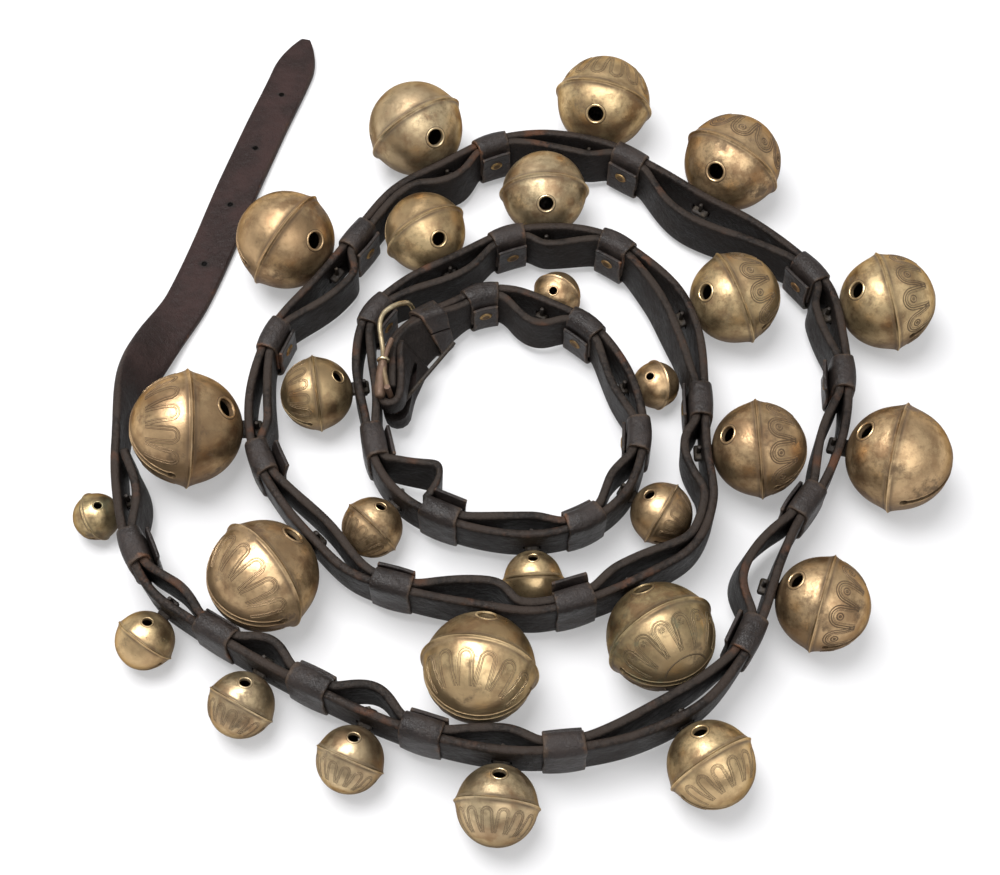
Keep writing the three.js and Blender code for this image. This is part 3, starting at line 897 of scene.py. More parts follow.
@dataclass
class BellCasting:
    """A bell of unit radius: its axis along Z, throat outwards, the slit along X."""

    ornament: Ornament
    wall: float = 0.105
    crest: float = 0.072
    crest_spread: float = 5.6
    bead: float = 0.012
    bead_half: float = 1.3
    foot: float = 0.03
    segments: int = 80
    slit: float = 0.1
    slit_end: float = 0.3
    slit_hole: float = 0.075
    slit_lip: float = 0.012
    slit_lip_off: float = 0.02
    cutter_long: float = 2.8
    cutter_high: float = 1.2
    hole: float = 0.172
    hole_tilt: float = 40.0
    hole_depth: float = 0.8
    hole_sides: int = 36
    hole_lip: float = 0.026
    fine_lats: tuple[float, ...] = (0.0, 0.7, 1.2, 1.5, 2.2, 3.2, 4.6, 6.5, 9.0, 12.5)
    wide_lats: tuple[float, float, int] = (17.0, 5.2, 14)
    petal_top: float = 12.0
    petal_foot: float = 50.0
    petal_gap: float = 2.9
    eye_gap: float = 5.6
    eyes: tuple[float, float] = (4.2, 1.2)
    star: tuple[float, float] = (4.0, 3.6)
    hem: tuple[float, float] = (58.0, 0.0012)
    leg_steps: int = 8
    arch_steps: int = 14
    ring_steps: int = 18
    lip_steps: int = 14
    line: float = 0.0088
    painted_shade_rise: float = 0.01
    crisp: float = 32.0

    @property
    def painted_shade_half(self) -> float:
        """Half the width of the painted shade along a line, less where the lines lie close."""
        return 0.0185 if self.ornament is Ornament.EYES else 0.0245

    @property
    def petals(self) -> tuple[tuple[float, ...], float]:
        """Where the petals of one side of the slit stand, and half the width of one."""
        if self.ornament is Ornament.EYES:
            return (-70.0, -35.0, 0.0, 35.0, 70.0), 13.6
        if self.ornament is Ornament.STARS:
            return (-62.5, -37.5, -12.5, 12.5, 37.5, 62.5), 9.8
        return (-62.5, -37.5, -12.5, 12.5, 37.5, 62.5), 8.4

    def swell(self, lat: float) -> float:
        """How far the crest stands off the ball at a latitude."""
        return self.crest * math.exp(-abs(lat) / self.crest_spread)

    def profile(self) -> list[tuple[float, float]]:
        """Half outline from the shank's pole to the throat's, with the crest between.

        Returns:
            Radius and height of each point.
        """
        first, step, count = self.wide_lats
        side = [*self.fine_lats, *(first + step * k for k in range(count)), 90.0]
        latitudes = [-v for v in reversed(side)] + side[1:]
        outline = []
        for lat in latitudes:
            swell = self.swell(lat)
            if abs(lat) < self.bead_half:
                swell += self.bead * math.sqrt(1.0 - (lat / self.bead_half) ** 2)
            angle = math.radians(lat)
            outline.append(((1 + swell) * math.cos(angle), (1 + swell) * math.sin(angle)))
        return outline

    def turned(self) -> bpy.types.Object:
        """Draw the outline, spin it and give it its wall.

        Returns:
            The closed shell.
        """
        pick()
        bpy.ops.mesh.primitive_plane_add(size=0.01)
        shell = fresh("bell_casting")
        outline = self.profile()
        bpy.ops.object.mode_set(mode="EDIT")
        bpy.ops.mesh.select_all(action="SELECT")
        bpy.ops.mesh.merge(type="CENTER")
        bpy.ops.transform.translate(value=(0.0, 0.0, outline[0][1]))
        for (r0, z0), (r1, z1) in zip(outline, outline[1:]):
            step = (r1 - r0, 0.0, z1 - z0)
            bpy.ops.mesh.extrude_region_move(TRANSFORM_OT_translate={"value": step})
        bpy.ops.mesh.select_all(action="SELECT")
        bpy.ops.mesh.spin(steps=self.segments, angle=math.tau, center=(0, 0, 0), axis=(0, 0, 1))
        bpy.ops.object.mode_set(mode="OBJECT")
        tidy_mesh(shell, self.crisp)
        finish_with(shell, "SOLIDIFY", thickness=self.wall, offset=-1.0)
        return shell

    def open_up(self, shell: bpy.types.Object) -> None:
        """Cut the throat slit with its round ends, and the two sound holes.

        Args:
            shell: the closed shell.
        """
        middle = self.slit_end + self.cutter_high / 2
        cut_away(shell, block("slit_cutter", (self.cutter_long, self.slit, self.cutter_high),
                              (0.0, 0.0, middle)))
        cut_away(shell, rod("slit_end_cutter", 20, self.slit_hole, self.cutter_long,
                            (0.0, 0.0, self.slit_end), (0.0, math.pi / 2, 0.0)))
        for aim in self.hole_aims():
            cut_away(shell, rod("hole_cutter", self.hole_sides, self.hole, self.hole_depth, aim,
                                aim.to_track_quat("Z", "Y").to_euler()))

    def hole_aims(self) -> list[Vector]:
        """Directions of the two sound holes."""
        tilt = math.radians(self.hole_tilt)
        return [Vector((0.0, s * math.cos(tilt), -math.sin(tilt))) for s in (1.0, -1.0)]

    def on_face(self, lon: float, lat: float) -> Vector:
        """Point on the bell's face.

        Args:
            lon: degrees round the axis from the top.
            lat: degrees from the crest towards the throat.

        Returns:
            The point.
        """
        a, b = math.radians(lon), math.radians(lat)
        aim = Vector((math.sin(a) * math.cos(b), math.cos(a) * math.cos(b), math.sin(b)))
        return aim * (1.0 + self.swell(lat))

    def arch(self, lon: float, half: float) -> Line:
        """One petal's line: up a leg, round the arch and down the other leg.

        Args:
            lon: the petal's middle.
            half: half its width in degrees.

        Returns:
            The line.
        """
        middle = self.petal_top + self.petals[1]
        spots = []
        for step in range(self.leg_steps + 1):
            lat = self.petal_foot + (middle - self.petal_foot) * step / self.leg_steps
            spots.append((-half / math.cos(math.radians(lat)), lat))
        legs = [(-x, lat) for x, lat in reversed(spots)]
        for step in range(1, self.arch_steps):
            turn = math.pi * step / self.arch_steps
            lat = middle - half * math.sin(turn)
            spots.append((-half * math.cos(turn) / math.cos(math.radians(lat)), lat))
        return [self.on_face(lon + x, lat) for x, lat in spots + legs]

    def ring(self, lon: float, lat: float, half: float) -> Line:
        """A round line on the face.

        Args:
            lon: its middle's longitude.
            lat: its middle's latitude.
            half: its radius in degrees.

        Returns:
            The closed line.
        """
        spots = [math.tau * step / self.ring_steps for step in range(self.ring_steps)]
        return [self.on_face(lon + half * math.cos(a) / math.cos(math.radians(lat)),
                             lat + half * math.sin(a)) for a in spots]

    def lines(self) -> tuple[list[Line], list[Line]]:
        """Lines of the cast ornament.

        Returns:
            The open lines and the closed ones, on both sides of the slit.
        """
        drawn, rings = [], []
        if self.ornament is Ornament.PLAIN:
            return drawn, rings
        lons, half = self.petals
        middle = self.petal_top + half
        wide, high = self.star
        foot, dip = self.hem
        for side in (0.0, 180.0):
            for lon in (side + at for at in lons):
                drawn += [self.arch(lon, half), self.arch(lon, half - self.petal_gap)]
                if self.ornament is Ornament.STARS:
                    for turn in (0.0, 60.0, 120.0):
                        x, y = math.cos(math.radians(turn)), math.sin(math.radians(turn))
                        drawn.append([self.on_face(lon + s * wide * x, middle + s * high * y)
                                      for s in (-1.0, 0.0, 1.0)])
                elif self.ornament is Ornament.EYES:
                    drawn.append(self.arch(lon, half - self.eye_gap))
                    rings += [self.ring(lon, middle, size) for size in self.eyes]
            if self.ornament is Ornament.STARS:
                drawn.append([self.on_face(side + at, foot + dip * at * at)
                              for at in range(-66, 67, 6)])
        return drawn, rings

    def lips(self) -> list[Line]:
        """Raised border round the slit.

        Returns:
            One closed line.
        """
        half, low = self.slit / 2 + self.slit_lip_off, math.degrees(math.asin(self.slit_end))
        lats = [low + 4.0 + (90.0 - low - 4.0) * k / self.lip_steps for k in range(self.lip_steps)]
        over = [Vector((math.cos(math.radians(a)), half, math.sin(math.radians(a)))) for a in lats]
        ring = self.slit_hole + self.slit_lip_off
        end = []
        for step in range(11):
            turn = math.radians(50.0 + 260.0 * step / 10)
            y, z = ring * math.sin(turn), self.slit_end + ring * math.cos(turn)
            end.append(Vector((math.sqrt(max(0.0, 1.0 - y * y - z * z)), y, z)))
        over, end = ([p.normalized() for p in line] for line in (over, end))
        near = [*reversed(over), *end, *(Vector((p.x, -p.y, p.z)) for p in over)]
        return [near + [Vector((-p.x, -p.y, p.z)) for p in near]]

    def crest_dirt_and_shade(self, places: np.ndarray, radius: np.ndarray) -> np.ndarray:
        """Dirt and painted shade along both sides of the crest, heavier in some stretches.

        Args:
            places: the shell's points.
            radius: how far each is from the middle.

        Returns:
            The dirt and painted shade of each point.
        """
        away = np.abs(np.degrees(np.arcsin(places[:, 2] / radius)))
        turn = np.arctan2(places[:, 0], places[:, 1])
        stretch = 0.74 + 0.14 * np.sin(3.0 * turn + 0.7) + 0.12 * np.sin(7.0 * turn + 2.1)
        return stretch * smooth(away, 1.6, 3.0) * (1.0 - smooth(away, 3.2, 9.0))

    def hole_rims(self) -> list[bpy.types.Object]:
        """Raised lip round each sound hole, with a dark line of painted shade round its foot.

        Returns:
            The rings.
        """
        rings = []
        middle = self.hole + 0.8 * self.hole_lip
        for aim in self.hole_aims():
            # The foot ring is dark as painted shade; the lip is painted lighter, rubbed wear and a
            # painted highlight.
            for name, radius, wire, sunk, grime_and_painted_shade, rub_and_highlight in (
                    ("hole_rim", middle, self.hole_lip, 0.009, 0.05, 0.35),
                    ("hole_rim_foot", middle + self.hole_lip, 0.6 * self.hole_lip, 0.011, 0.85,
                     0.0)):
                place = aim * (math.sqrt(1.0 - radius * radius) - sunk)
                rings.append(hoop(name, self.hole_sides, radius, wire, place, aim))
                mark(rings[-1], "grime_and_painted_shade", grime_and_painted_shade)
                mark(rings[-1], "rub_and_highlight", rub_and_highlight)
        return rings

    def age(self, shell: bpy.types.Object) -> None:
        """Mark the shell's darkening and painted shade, its outer half and its rubbed crest, and
        wear the crest below.

        Args:
            shell: the open shell.
        """
        places = points_of(shell)
        radius = np.linalg.norm(places, axis=1)
        # Dark inside and towards the shank; the lower half is darkened as painted shade; dirt and
        # painted shade along the crest.
        soil_and_shade = np.maximum(0.6 * smooth(-places[:, 2], 0.72, 0.98),
                          0.74 * smooth(-places[:, 1], -0.68, 0.32))
        soil_and_shade = np.maximum(soil_and_shade, self.crest_dirt_and_shade(places, radius))
        mark(shell, "grime_and_painted_shade", np.where(radius < 0.97, 1.0, soil_and_shade))
        mark(shell, "outer", smooth(places[:, 2], 0.01, 0.05))
        mark(shell, "rub_and_highlight", 0.7 * smooth(radius, 1.069, 1.081))
        excess = np.maximum(radius - 1.0, 0.0)
        under = smooth(-places[:, 1] / radius, 0.55, 0.9)
        worn = excess * under * (1.0 - self.foot / (self.crest + self.bead))
        move_points(shell, places * (1.0 - worn / radius)[:, None])

    def build(self) -> bpy.types.Object:
        """Make the casting with its rims, lips and ornament.

        Returns:
            The model that the bells are copied from.
        """
        shell = self.turned()
        self.open_up(shell)
        self.age(shell)
        rims = self.hole_rims()
        lips = wires("slit_lips", self.lips(), self.slit_lip, True)
        mark(lips, "grime_and_painted_shade", 0.5)
        mark(lips, "outer", 1.0)
        parts = [shell, *rims, lips]
        for drawn, closed in zip(self.lines(), (False, True)):
            if not drawn:
                continue
            raised = wires("ornament", drawn, self.line, closed)
            mark(raised, "outer", 1.0)
            # The raised lines are painted lighter as a painted highlight.
            mark(raised, "rub_and_highlight", 0.2)
            # Beside each raised line lies a sunk dark wire: painted shade in the groove.
            sunk = [[p * (1.0 + self.painted_shade_rise - self.painted_shade_half) for p in line] for line in drawn]
            shade = wires("ornament_shade", sunk, self.painted_shade_half, closed)
            mark(shade, "outer", 1.0)
            mark(shade, "grime_and_painted_shade", 0.85)
            parts += [raised, shade]
        made = joined("bell_casting", parts)
        bpy.ops.object.shade_smooth_by_angle(angle=math.radians(self.crisp))
        return made


@dataclass
class BellRow:
    """The row of bells with their shanks, pins and peas."""

    flat_share: float = math.cos(math.pi / 12)
    crest_room: float = 1.0 + BellCasting.foot
    pin_radius: float = 1.1 * MM
    pin_length: float = 15 * MM
    pin_edge: float = 0.5 * MM
    past_pin: float = 2.4 * MM
    shank_root: float = 0.93
    shank_edge: float = 1.3 * MM
    pea_share: float = 0.16
    pea_dent: float = 0.05
    pea_scale: float = 160.0
    dent: float = 0.007
    dent_scale: float = 1.6
    bells: list[Bell] = field(default_factory=lambda: BELLS)

    def frame_of(self, number: int) -> tuple[Matrix, Vector]:
        """Where a bell hangs.

        Args:
            number: the bell's number, from 1.

        Returns:
            Its frame (along the strap, up, outwards) and its pin's middle.
        """
        roll = JOINTS[f"clapper_{number:02d}_roll"]
        axis = Vector(roll["axis"]).normalized()
        rise = (UP - axis * axis.z).normalized()
        place = Matrix((rise.cross(axis), rise, axis)).transposed().to_4x4()
        place.translation = Vector(roll["pos_m"])
        return place, Vector(JOINTS[f"bell_{number:02d}_rock"]["pos_m"])

    def radius_of(self, bell: Bell) -> float:
        """Radius at which the round bell stands on the table."""
        return (bell.diameter / 2 + bell.ridge) * self.flat_share / self.crest_room * MM

    def body_piece(self, number: int, bell: Bell, casting: bpy.types.Object) -> bpy.types.Object:
        """Copy the casting to one bell's place, with the dents of a sand casting.

        Args:
            number: the bell's number.
            bell: its facts.
            casting: the model.

        Returns:
            The bell.
        """
        piece = twin_of(casting, f"bell_body_{number:02d}")
        places = points_of(piece)
        spin = Matrix.Translation((number * 7.3, number * 3.1, 0.0))
        dents = [noise.noise(spin @ (Vector(p) * self.dent_scale)) for p in places]
        places *= 1.0 + self.dent * np.minimum(np.array(dents), 0.1)[:, None]
        move_points(piece, places)
        place, _ = self.frame_of(number)
        piece.data.transform(place @ Matrix.Scale(self.radius_of(bell), 4))
        return piece

    def shank_piece(self, number: int, bell: Bell) -> bpy.types.Object:
        """Model the flat shank through the strap and the pin that holds it.

        Args:
            number: the bell's number.
            bell: its facts.

        Returns:
            The shank with its pin.
        """
        place, pin = self.frame_of(number)
        arm = (place.translation - pin).length
        start = self.shank_root * self.radius_of(bell)
        stop = arm + self.past_pin
        shank = block(f"bell_shank_{number:02d}", (*bell.shank, stop - start),
                      (0.0, 0.0, -(start + stop) / 2))
        finish_with(shank, "BEVEL", width=self.shank_edge, segments=3, limit_method="ANGLE")
        shank.data.transform(place)
        peg = rod("shank_pin", 16, self.pin_radius, self.pin_length, pin)
        finish_with(peg, "BEVEL", width=self.pin_edge, segments=3, limit_method="ANGLE")
        made = joined(f"bell_shank_{number:02d}", [shank, peg])
        tidy_mesh(made)
        return made

    def pea_piece(self, number: int, bell: Bell) -> bpy.types.Object:
        """Model the rough iron pea in a bell.

        Args:
            number: the bell's number.
            bell: its facts.

        Returns:
            The pea.
        """
        low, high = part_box(f"clapper_{number:02d}")
        pick()
        bpy.ops.mesh.primitive_ico_sphere_add(subdivisions=3,
                                              radius=self.pea_share * bell.diameter * MM)
        pea = fresh(f"pea_{number:02d}")
        places = points_of(pea)
        shift = Vector((number, 0, 0))
        rough = [noise.noise(Vector(p) * self.pea_scale + shift) for p in places]
        rough = np.minimum(np.array(rough), 0.3)[:, None]
        move_points(pea, places * (1.0 + self.pea_dent * rough))
        pea.location = (low + high) / 2
        settle(pea)
        tidy_mesh(pea, 60.0)
        return pea

    def build(self) -> None:
        """Make and dress every bell, shank and pea."""
        castings = {kind: BellCasting(kind).build() for kind in Ornament}
        looks = {patina: patina.value.material() for patina in Patina}
        iron, pea_iron = PIN_IRON.material(), PEA_IRON.material()
        for number, bell in enumerate(self.bells, 1):
            body = f"bell_{number:02d}"
            piece = self.body_piece(number, bell, castings[bell.ornament])
            hang_on(piece, body, looks[bell.patina], [body])
            hang_on(self.shank_piece(number, bell), body, iron)
            pea = self.pea_piece(number, bell)
            hang_on(pea, f"clapper_{number:02d}", pea_iron,
                    [f"clapper_{number:02d}"])
        for casting in castings.values():
            bpy.data.objects.remove(casting)


# Leather

def flat_strip(name: str, length: float, width: float, thickness: float, steps: int,
               rows: int, edge: float) -> bpy.types.Object:
    """Cut a straight strip of leather and round its edges.

    Args:
        name: the piece's name.
        length: along X, from 0.
        width: along Y, about 0.
        thickness: along Z, about 0.
        steps: faces along it.
        rows: faces across it.
        edge: how far its edges are rounded.

    Returns:
        The strip.
    """
    pick()
    bpy.ops.mesh.primitive_grid_add(x_subdivisions=steps, y_subdivisions=rows, size=1.0)
    strip = fresh(name)
    strip.scale = (length, width, 1.0)
    strip.location = (length / 2, 0.0, 0.0)
    settle(strip)
    finish_with(strip, "SOLIDIFY", thickness=thickness, offset=0.0)
    finish_with(strip, "BEVEL", width=edge, segments=2, limit_method="ANGLE",
                angle_limit=math.radians(60))
    return strip


def rub_edges(strip: bpy.types.Object, width: float, reach: float) -> None:
    """Mark where a strip's long edges wear.

    Args:
        strip: the straight strip.
        width: its width.
        reach: how far the wear goes in.
    """
    places = points_of(strip)
    mark(strip, "edge", smooth(np.abs(places[:, 1]), width / 2 - reach, width / 2))


def ragged(distance: np.ndarray, slow: float, fast: float, start: float = 0.0) -> np.ndarray:
    """Uneven width of leather cut by hand.

    Args:
        distance: places along the strip.
        slow: rate of the wider waves.
        fast: rate of the narrower waves.
        start: where the wider waves start.

    Returns:
        The share of the width at each place.
    """
    return 1.0 + 0.012 * np.sin(distance * slow + start) + 0.008 * np.sin(distance * fast)


@dataclass
class Straps:
    """The base strap, the lining inside it, and the loop behind the buckle."""

    base_steps: int = 1150
    base_edge: float = 1.4 * MM
    base_wear: float = 2.6 * MM
    lining_steps: int = 1500
    lining_edge: float = 1.3 * MM
    lining_wear: float = 2.4 * MM
    rows: int = 6
    crisp: float = 50.0
    lining_start: float = 320 * MM
    lining_ends: float = 2 * MM
    lining_thickness: float = 4.2 * MM
    layer_gap: float = 0.3 * MM
    swell: float = 0.3 * MM
    easing: float = 2.6 * MM
    round_loop: tuple[tuple[float, float], ...] = (
        (2.1732, 0.0), (2.185, 0.0155), (2.2155, 0.0315), (2.2098, 0.0))
    lean: float = 0.1
    lean_rate: float = 29.0
    cup: float = 0.5 * MM
    cup_rate: float = 46.0
    tip_share: float = 0.16
    tip_length: float = 30 * MM
    fold_leg: float = 34 * MM
    holes: tuple[float, ...] = (48, 92, 136, 180)
    hole_radius: float = 1.6 * MM
    slot_side: float = 1.0 * MM
    slot_face: float = 0.4 * MM
    touches: tuple[float, ...] = (1243, 1620, 1724, 1745)
    touch_half: float = 4
    keeper_half: float = 11.5
    loop_length: float = 13 * MM
    loop_wall: float = 2.2 * MM
    loop_back: float = 58 * MM
    loop_room: float = 0.6 * MM
    loop_bend: float = 3.4 * MM
    tongue_slot_width: float = 8 * MM
    tongue_slot_back: float = 3.9 * MM
    prong_slot: float = 26 * MM
    prong_slot_over: float = 2 * MM

    def slack(self, distance: np.ndarray) -> np.ndarray:
        """How far the lining stands off the base strap.

        Args:
            distance: places along the strap.

        Returns:
            The stand-off at each.
        """
        stops = [self.lining_start + self.lining_ends]
        held = [(touch, self.touch_half) for touch in self.touches]
        held += [(keeper.station, self.keeper_half) for keeper in KEEPERS]
        for middle, half in held:
            stops += [(middle - half) * MM, (middle + half) * MM]
        off = np.zeros(len(distance))
        for bell in BELLS:
            station = bell.station * MM
            low = max(s for s in stops if s < station)
            high = min(s for s in stops if s > station)
            up = np.clip((distance - low) / (station - low), 0.0, 1.0)
            down = np.clip((high - distance) / (high - station), 0.0, 1.0)
            off = np.maximum(off, bell.slack * MM * np.sin(np.pi / 2 * np.minimum(up, down)))
        return off

    def eased_slack(self, distance: np.ndarray) -> tuple[np.ndarray, np.ndarray]:
        """The lining's stand-off with its corners rounded.

        Args:
            distance: places along the strap.

        Returns:
            The stand-off and its slope at each.
        """
        step = 0.5 * MM
        table = np.arange(distance.min() - 0.02, distance.max() + 0.02, step)
        reach = np.arange(-4 * self.easing, 4 * self.easing + step, step)
        weights = np.exp(-0.5 * (reach / self.easing) ** 2)
        off = np.convolve(self.slack(table), weights / weights.sum(), mode="same")
        slope = np.gradient(off, step)
        return np.interp(distance, table, off), np.interp(distance, table, slope)

    def round_path(self, share: np.ndarray) -> tuple[np.ndarray, np.ndarray]:
        """The lining's one wide loop, a curve with four guide points.

        Args:
            share: places along the loop, from 0 to 1.

        Returns:
            Distance along the strap and stand-off, and the loop's direction in both.
        """
        a, b, c, d = (np.array(point) for point in self.round_loop)
        t = share[:, None]
        path = ((1 - t) ** 3 * a + 3 * (1 - t) ** 2 * t * b + 3 * (1 - t) * t * t * c
                + t ** 3 * d)
        heading = (1 - t) ** 2 * (b - a) + 2 * (1 - t) * t * (c - b) + t * t * (d - c)
        return path, heading / np.linalg.norm(heading, axis=1)[:, None]

    def base(self, row: BellRow) -> bpy.types.Object:
        """Lay the base strap along the coil, with its holes and slots.

        Args:
            row: the bells whose shanks pass through it.

        Returns:
            The base strap.
        """
        run = ROUTE.length + ROUTE.bar_ahead + math.pi * ROUTE.fold_radius + self.fold_leg
        strap = flat_strip("base_strap_leather", run, ROUTE.width,
                           ROUTE.thickness + self.swell, self.base_steps, self.rows,
                           self.base_edge)
        rub_edges(strap, ROUTE.width, self.base_wear)
        places = points_of(strap)
        distance = places[:, 0]
        mark(strap, "tail", 1.0 - smooth(distance, 0.2, 0.34))
        taper = np.sin(np.pi / 2 * np.clip(distance / self.tip_length, 0.0, 1.0)) ** 0.8
        reach = self.tip_share + (1.0 - self.tip_share) * taper
        uneven = np.where(distance > 0.3, ragged(distance, 61.0, 143.0), 1.0)
        height = places[:, 1] * reach * uneven
        cup = self.cup * np.cos(distance * self.cup_rate) * (places[:, 1] / ROUTE.width * 2) ** 2
        cup *= smooth(distance, 0.05, 0.12) * (1 - smooth(distance, 0.15, 0.2))
        move_points(strap, ROUTE.lay_folded(distance, places[:, 2] + cup, height))
        tidy_mesh(strap, self.crisp)
        cutters = [self.billet_hole(station) for station in self.holes]
        cutters += [self.shank_slot(row, n, bell) for n, bell in enumerate(row.bells, 1)]
        cut_away(strap, joined("strap_cutters", cutters))
        for cutter in self.tongue_slots():
            cut_away(strap, cutter)
        return strap

    def billet_hole(self, station: float) -> bpy.types.Object:
        """Punch for one billet hole.

        Args:
            station: its distance along the strap in millimetres.

        Returns:
            The punch.
        """
        punch = rod("billet_punch", 20, self.hole_radius, 20 * MM)
        punch.data.transform(ROUTE.spot(station * MM))
        return punch

    def shank_slot(self, row: BellRow, number: int, bell: Bell) -> bpy.types.Object:
        """Cutter for one bell's slot.

        Args:
            row: the row of bells.
            number: the bell's number.
            bell: its facts.

        Returns:
            The cutter.
        """
        place, pin = row.frame_of(number)
        arm = (place.translation - pin).length
        width, thickness = bell.shank
        sides = (width + 2 * self.slot_side, thickness + 2 * self.slot_face, 4 * ROUTE.thickness)
        slot = block("shank_slot", sides, (0.0, 0.0, ROUTE.thickness - arm))
        slot.data.transform(place)
        return slot

    def tongue_slots(self) -> list[bpy.types.Object]:
        """Cutters for the tongue's eye in the fold and for its prong in the folded leg.

        Returns:
            The cutters.
        """
        bar = ROUTE.spot(ROUTE.length, ROUTE.fold_radius)
        bar = Matrix.Translation(bar.to_3x3().col[0] * ROUTE.bar_ahead) @ bar
        back = self.tongue_slot_back
        ahead = ROUTE.fold_radius + ROUTE.thickness
        made = []
        for middle, length, depth, thick in (
                ((ahead - back) / 2, ahead + back, 0.0, 6 * ROUTE.fold_radius),
                (-self.prong_slot / 2, self.prong_slot, -ROUTE.fold_radius,
                 ROUTE.thickness + self.prong_slot_over)):
            slot = block("tongue_slot", (length, self.tongue_slot_width, thick),
                         (middle, 0.0, depth))
            slot.data.transform(bar)
            made.append(slot)
        return made

    def lining(self) -> bpy.types.Object:
        """Lay the lining inside the base strap, loose over each bell's shank.

        Returns:
            The lining.
        """
        run = ROUTE.length - self.lining_ends - self.lining_start
        strap = flat_strip("lining_leather_strip", run, ROUTE.width,
                           self.lining_thickness + self.swell, self.lining_steps, self.rows,
                           self.lining_edge)
        rub_edges(strap, ROUTE.width, self.lining_wear)
        places = points_of(strap)
        distance = places[:, 0] + self.lining_start
        off, slope = self.eased_slack(distance)
        square = 1.0 / np.hypot(1.0, slope)
        tilt = slope * square
        start, stop = self.round_loop[0][0], self.round_loop[-1][0]
        inside = (distance > start) & (distance < stop)
        share = (distance[inside] - start) / (stop - start)
        path, heading = self.round_path(share)
        distance[inside], off[inside] = path.T
        square[inside], tilt[inside] = heading.T
        outer = ROUTE.thickness / 2 + self.layer_gap + self.lining_thickness / 2
        lean = self.lean * np.sin(distance * self.lean_rate + 0.7)
        lean *= off * places[:, 1] / (ROUTE.width / 2)
        height = places[:, 1] * ragged(distance, 71.0, 157.0, 1.0)
        move_points(strap, ROUTE.lay(distance - places[:, 2] * tilt,
                                     outer + off + lean + places[:, 2] * square, height))
        tidy_mesh(strap, self.crisp)
        return strap

    def loop(self) -> bpy.types.Object:
        """Bend the small loop round the folded end.

        Returns:
            The loop.
        """
        inner = (ROUTE.thickness / 2 + self.lining_thickness + 2 * self.layer_gap
                 + self.loop_wall / 2)
        outer = -ROUTE.thickness / 2 - self.loop_room - self.loop_wall / 2
        high = ROUTE.width / 2 + self.loop_room + self.loop_wall / 2
        band = Band([(inner, 2 * MM), (inner, high), (outer, high), (outer, -high),
                     (inner, -high), (inner, 1.2 * MM)], self.loop_bend)
        strip = band.strip("billet_loop_leather", self.loop_length, self.loop_wall)
        station = ROUTE.length + ROUTE.bar_ahead - self.loop_back
        return band.wrap(strip, station)

    def build(self, row: BellRow, keeper_look: bpy.types.Material) -> None:
        """Make and dress the leather that runs along the coil.

        Args:
            row: the bells.
            keeper_look: the finish of the loop, which is the keepers'.
        """
        strap = self.base(row)
        hang_on(strap, "strap", STRAP_LEATHER.material(),
                ["base_strap", "buckle_chape"])
        hang_on(self.lining(), "strap", LINING_LEATHER.material(),
                ["lining_with_keepers"])
        hang_on(self.loop(), "strap", keeper_look, ["billet_loop"])


@dataclass
class Band:
    """A band of leather bent round the strap, along corners given as depth and height."""

    corners: list[tuple[float, float]]
    bend: float
    steps: int = 96
    rows: int = 5
    edge: float = 0.5 * MM
    wear: float = 2.0 * MM
    crisp: float = 50.0
    waves: tuple[tuple[float, float], ...] = ((190.0, 900.0), (410.0, 1700.0))
    wave_flare: float = 0.3
    wave_width: float = 0.016

    def __post_init__(self) -> None:
        """Round the corners and measure the path."""
        path = [np.array(self.corners[0])]
        for before, here, after in zip(self.corners, self.corners[1:], self.corners[2:]):
            start, middle, stop = (np.array(p) for p in (before, here, after))
            back, on = start - middle, stop - middle
            enter = middle + back * min(0.49, self.bend / np.linalg.norm(back))
            leave = middle + on * min(0.49, self.bend / np.linalg.norm(on))
            for t in np.linspace(0.0, 1.0, 7):
                path.append((1 - t) ** 2 * enter + 2 * t * (1 - t) * middle + t * t * leave)
        path.append(np.array(self.corners[-1]))
        self.path = np.array(path)
        steps = np.linalg.norm(np.diff(self.path, axis=0), axis=1)
        self.run = np.concatenate([[0.0], np.cumsum(steps)])

    def strip(self, name: str, length: float, wall: float) -> bpy.types.Object:
        """Cut the straight band.

        Args:
            name: the piece's name.
            length: its width, along the strap.
            wall: its thickness.

        Returns:
            The straight band.
        """
        made = flat_strip(name, float(self.run[-1]), length, wall, self.steps, self.rows,
                          self.edge)
        rub_edges(made, length, self.wear)
        return made

    def wrap(self, strip: bpy.types.Object, station: float, skew: float = 0.0,
             flare: float = 0.0) -> bpy.types.Object:
        """Bend the straight band round the strap.

        Args:
            strip: the straight band.
            station: distance along the strap of its middle.
            skew: how far its lap is drawn along the strap.
            flare: how far its cut edges stand off.

        Returns:
            The bent band.
        """
        places = points_of(strip)
        half = np.abs(places[:, 1]).max()
        wave = sum(np.sin(places[:, 0] * rate + station * start) for rate, start in self.waves)
        places[:, 2] += flare * (places[:, 1] / half) ** 2 * (1.0 + self.wave_flare * wave)
        places[:, 1] *= 1.0 + self.wave_width * wave
        along = np.clip(places[:, 0], 0.0, self.run[-1])
        tangent = np.gradient(self.path, self.run, axis=0)
        tangent /= np.linalg.norm(tangent, axis=1)[:, None]
        depth, height = (np.interp(along, self.run, self.path[:, k]) for k in (0, 1))
        face = [np.interp(along, self.run, v) for v in (-tangent[:, 1], tangent[:, 0])]
        drawn = skew * smooth(along, 0.55 * self.run[-1], self.run[-1])
        move_points(strip, ROUTE.lay(station + places[:, 1] + drawn,
                                     depth + face[0] * places[:, 2],
                                     height + face[1] * places[:, 2]))
        tidy_mesh(strip, self.crisp)
        return strip


@dataclass(frozen=True)
class Keeper:
    """One keeper: its place in millimetres, its lap's end, its skew and its share of wall."""

    station: float
    flap_up: float = 9.0
    flap_out: float = 0.6
    skew: float = 0.0
    worn: float = 1.0


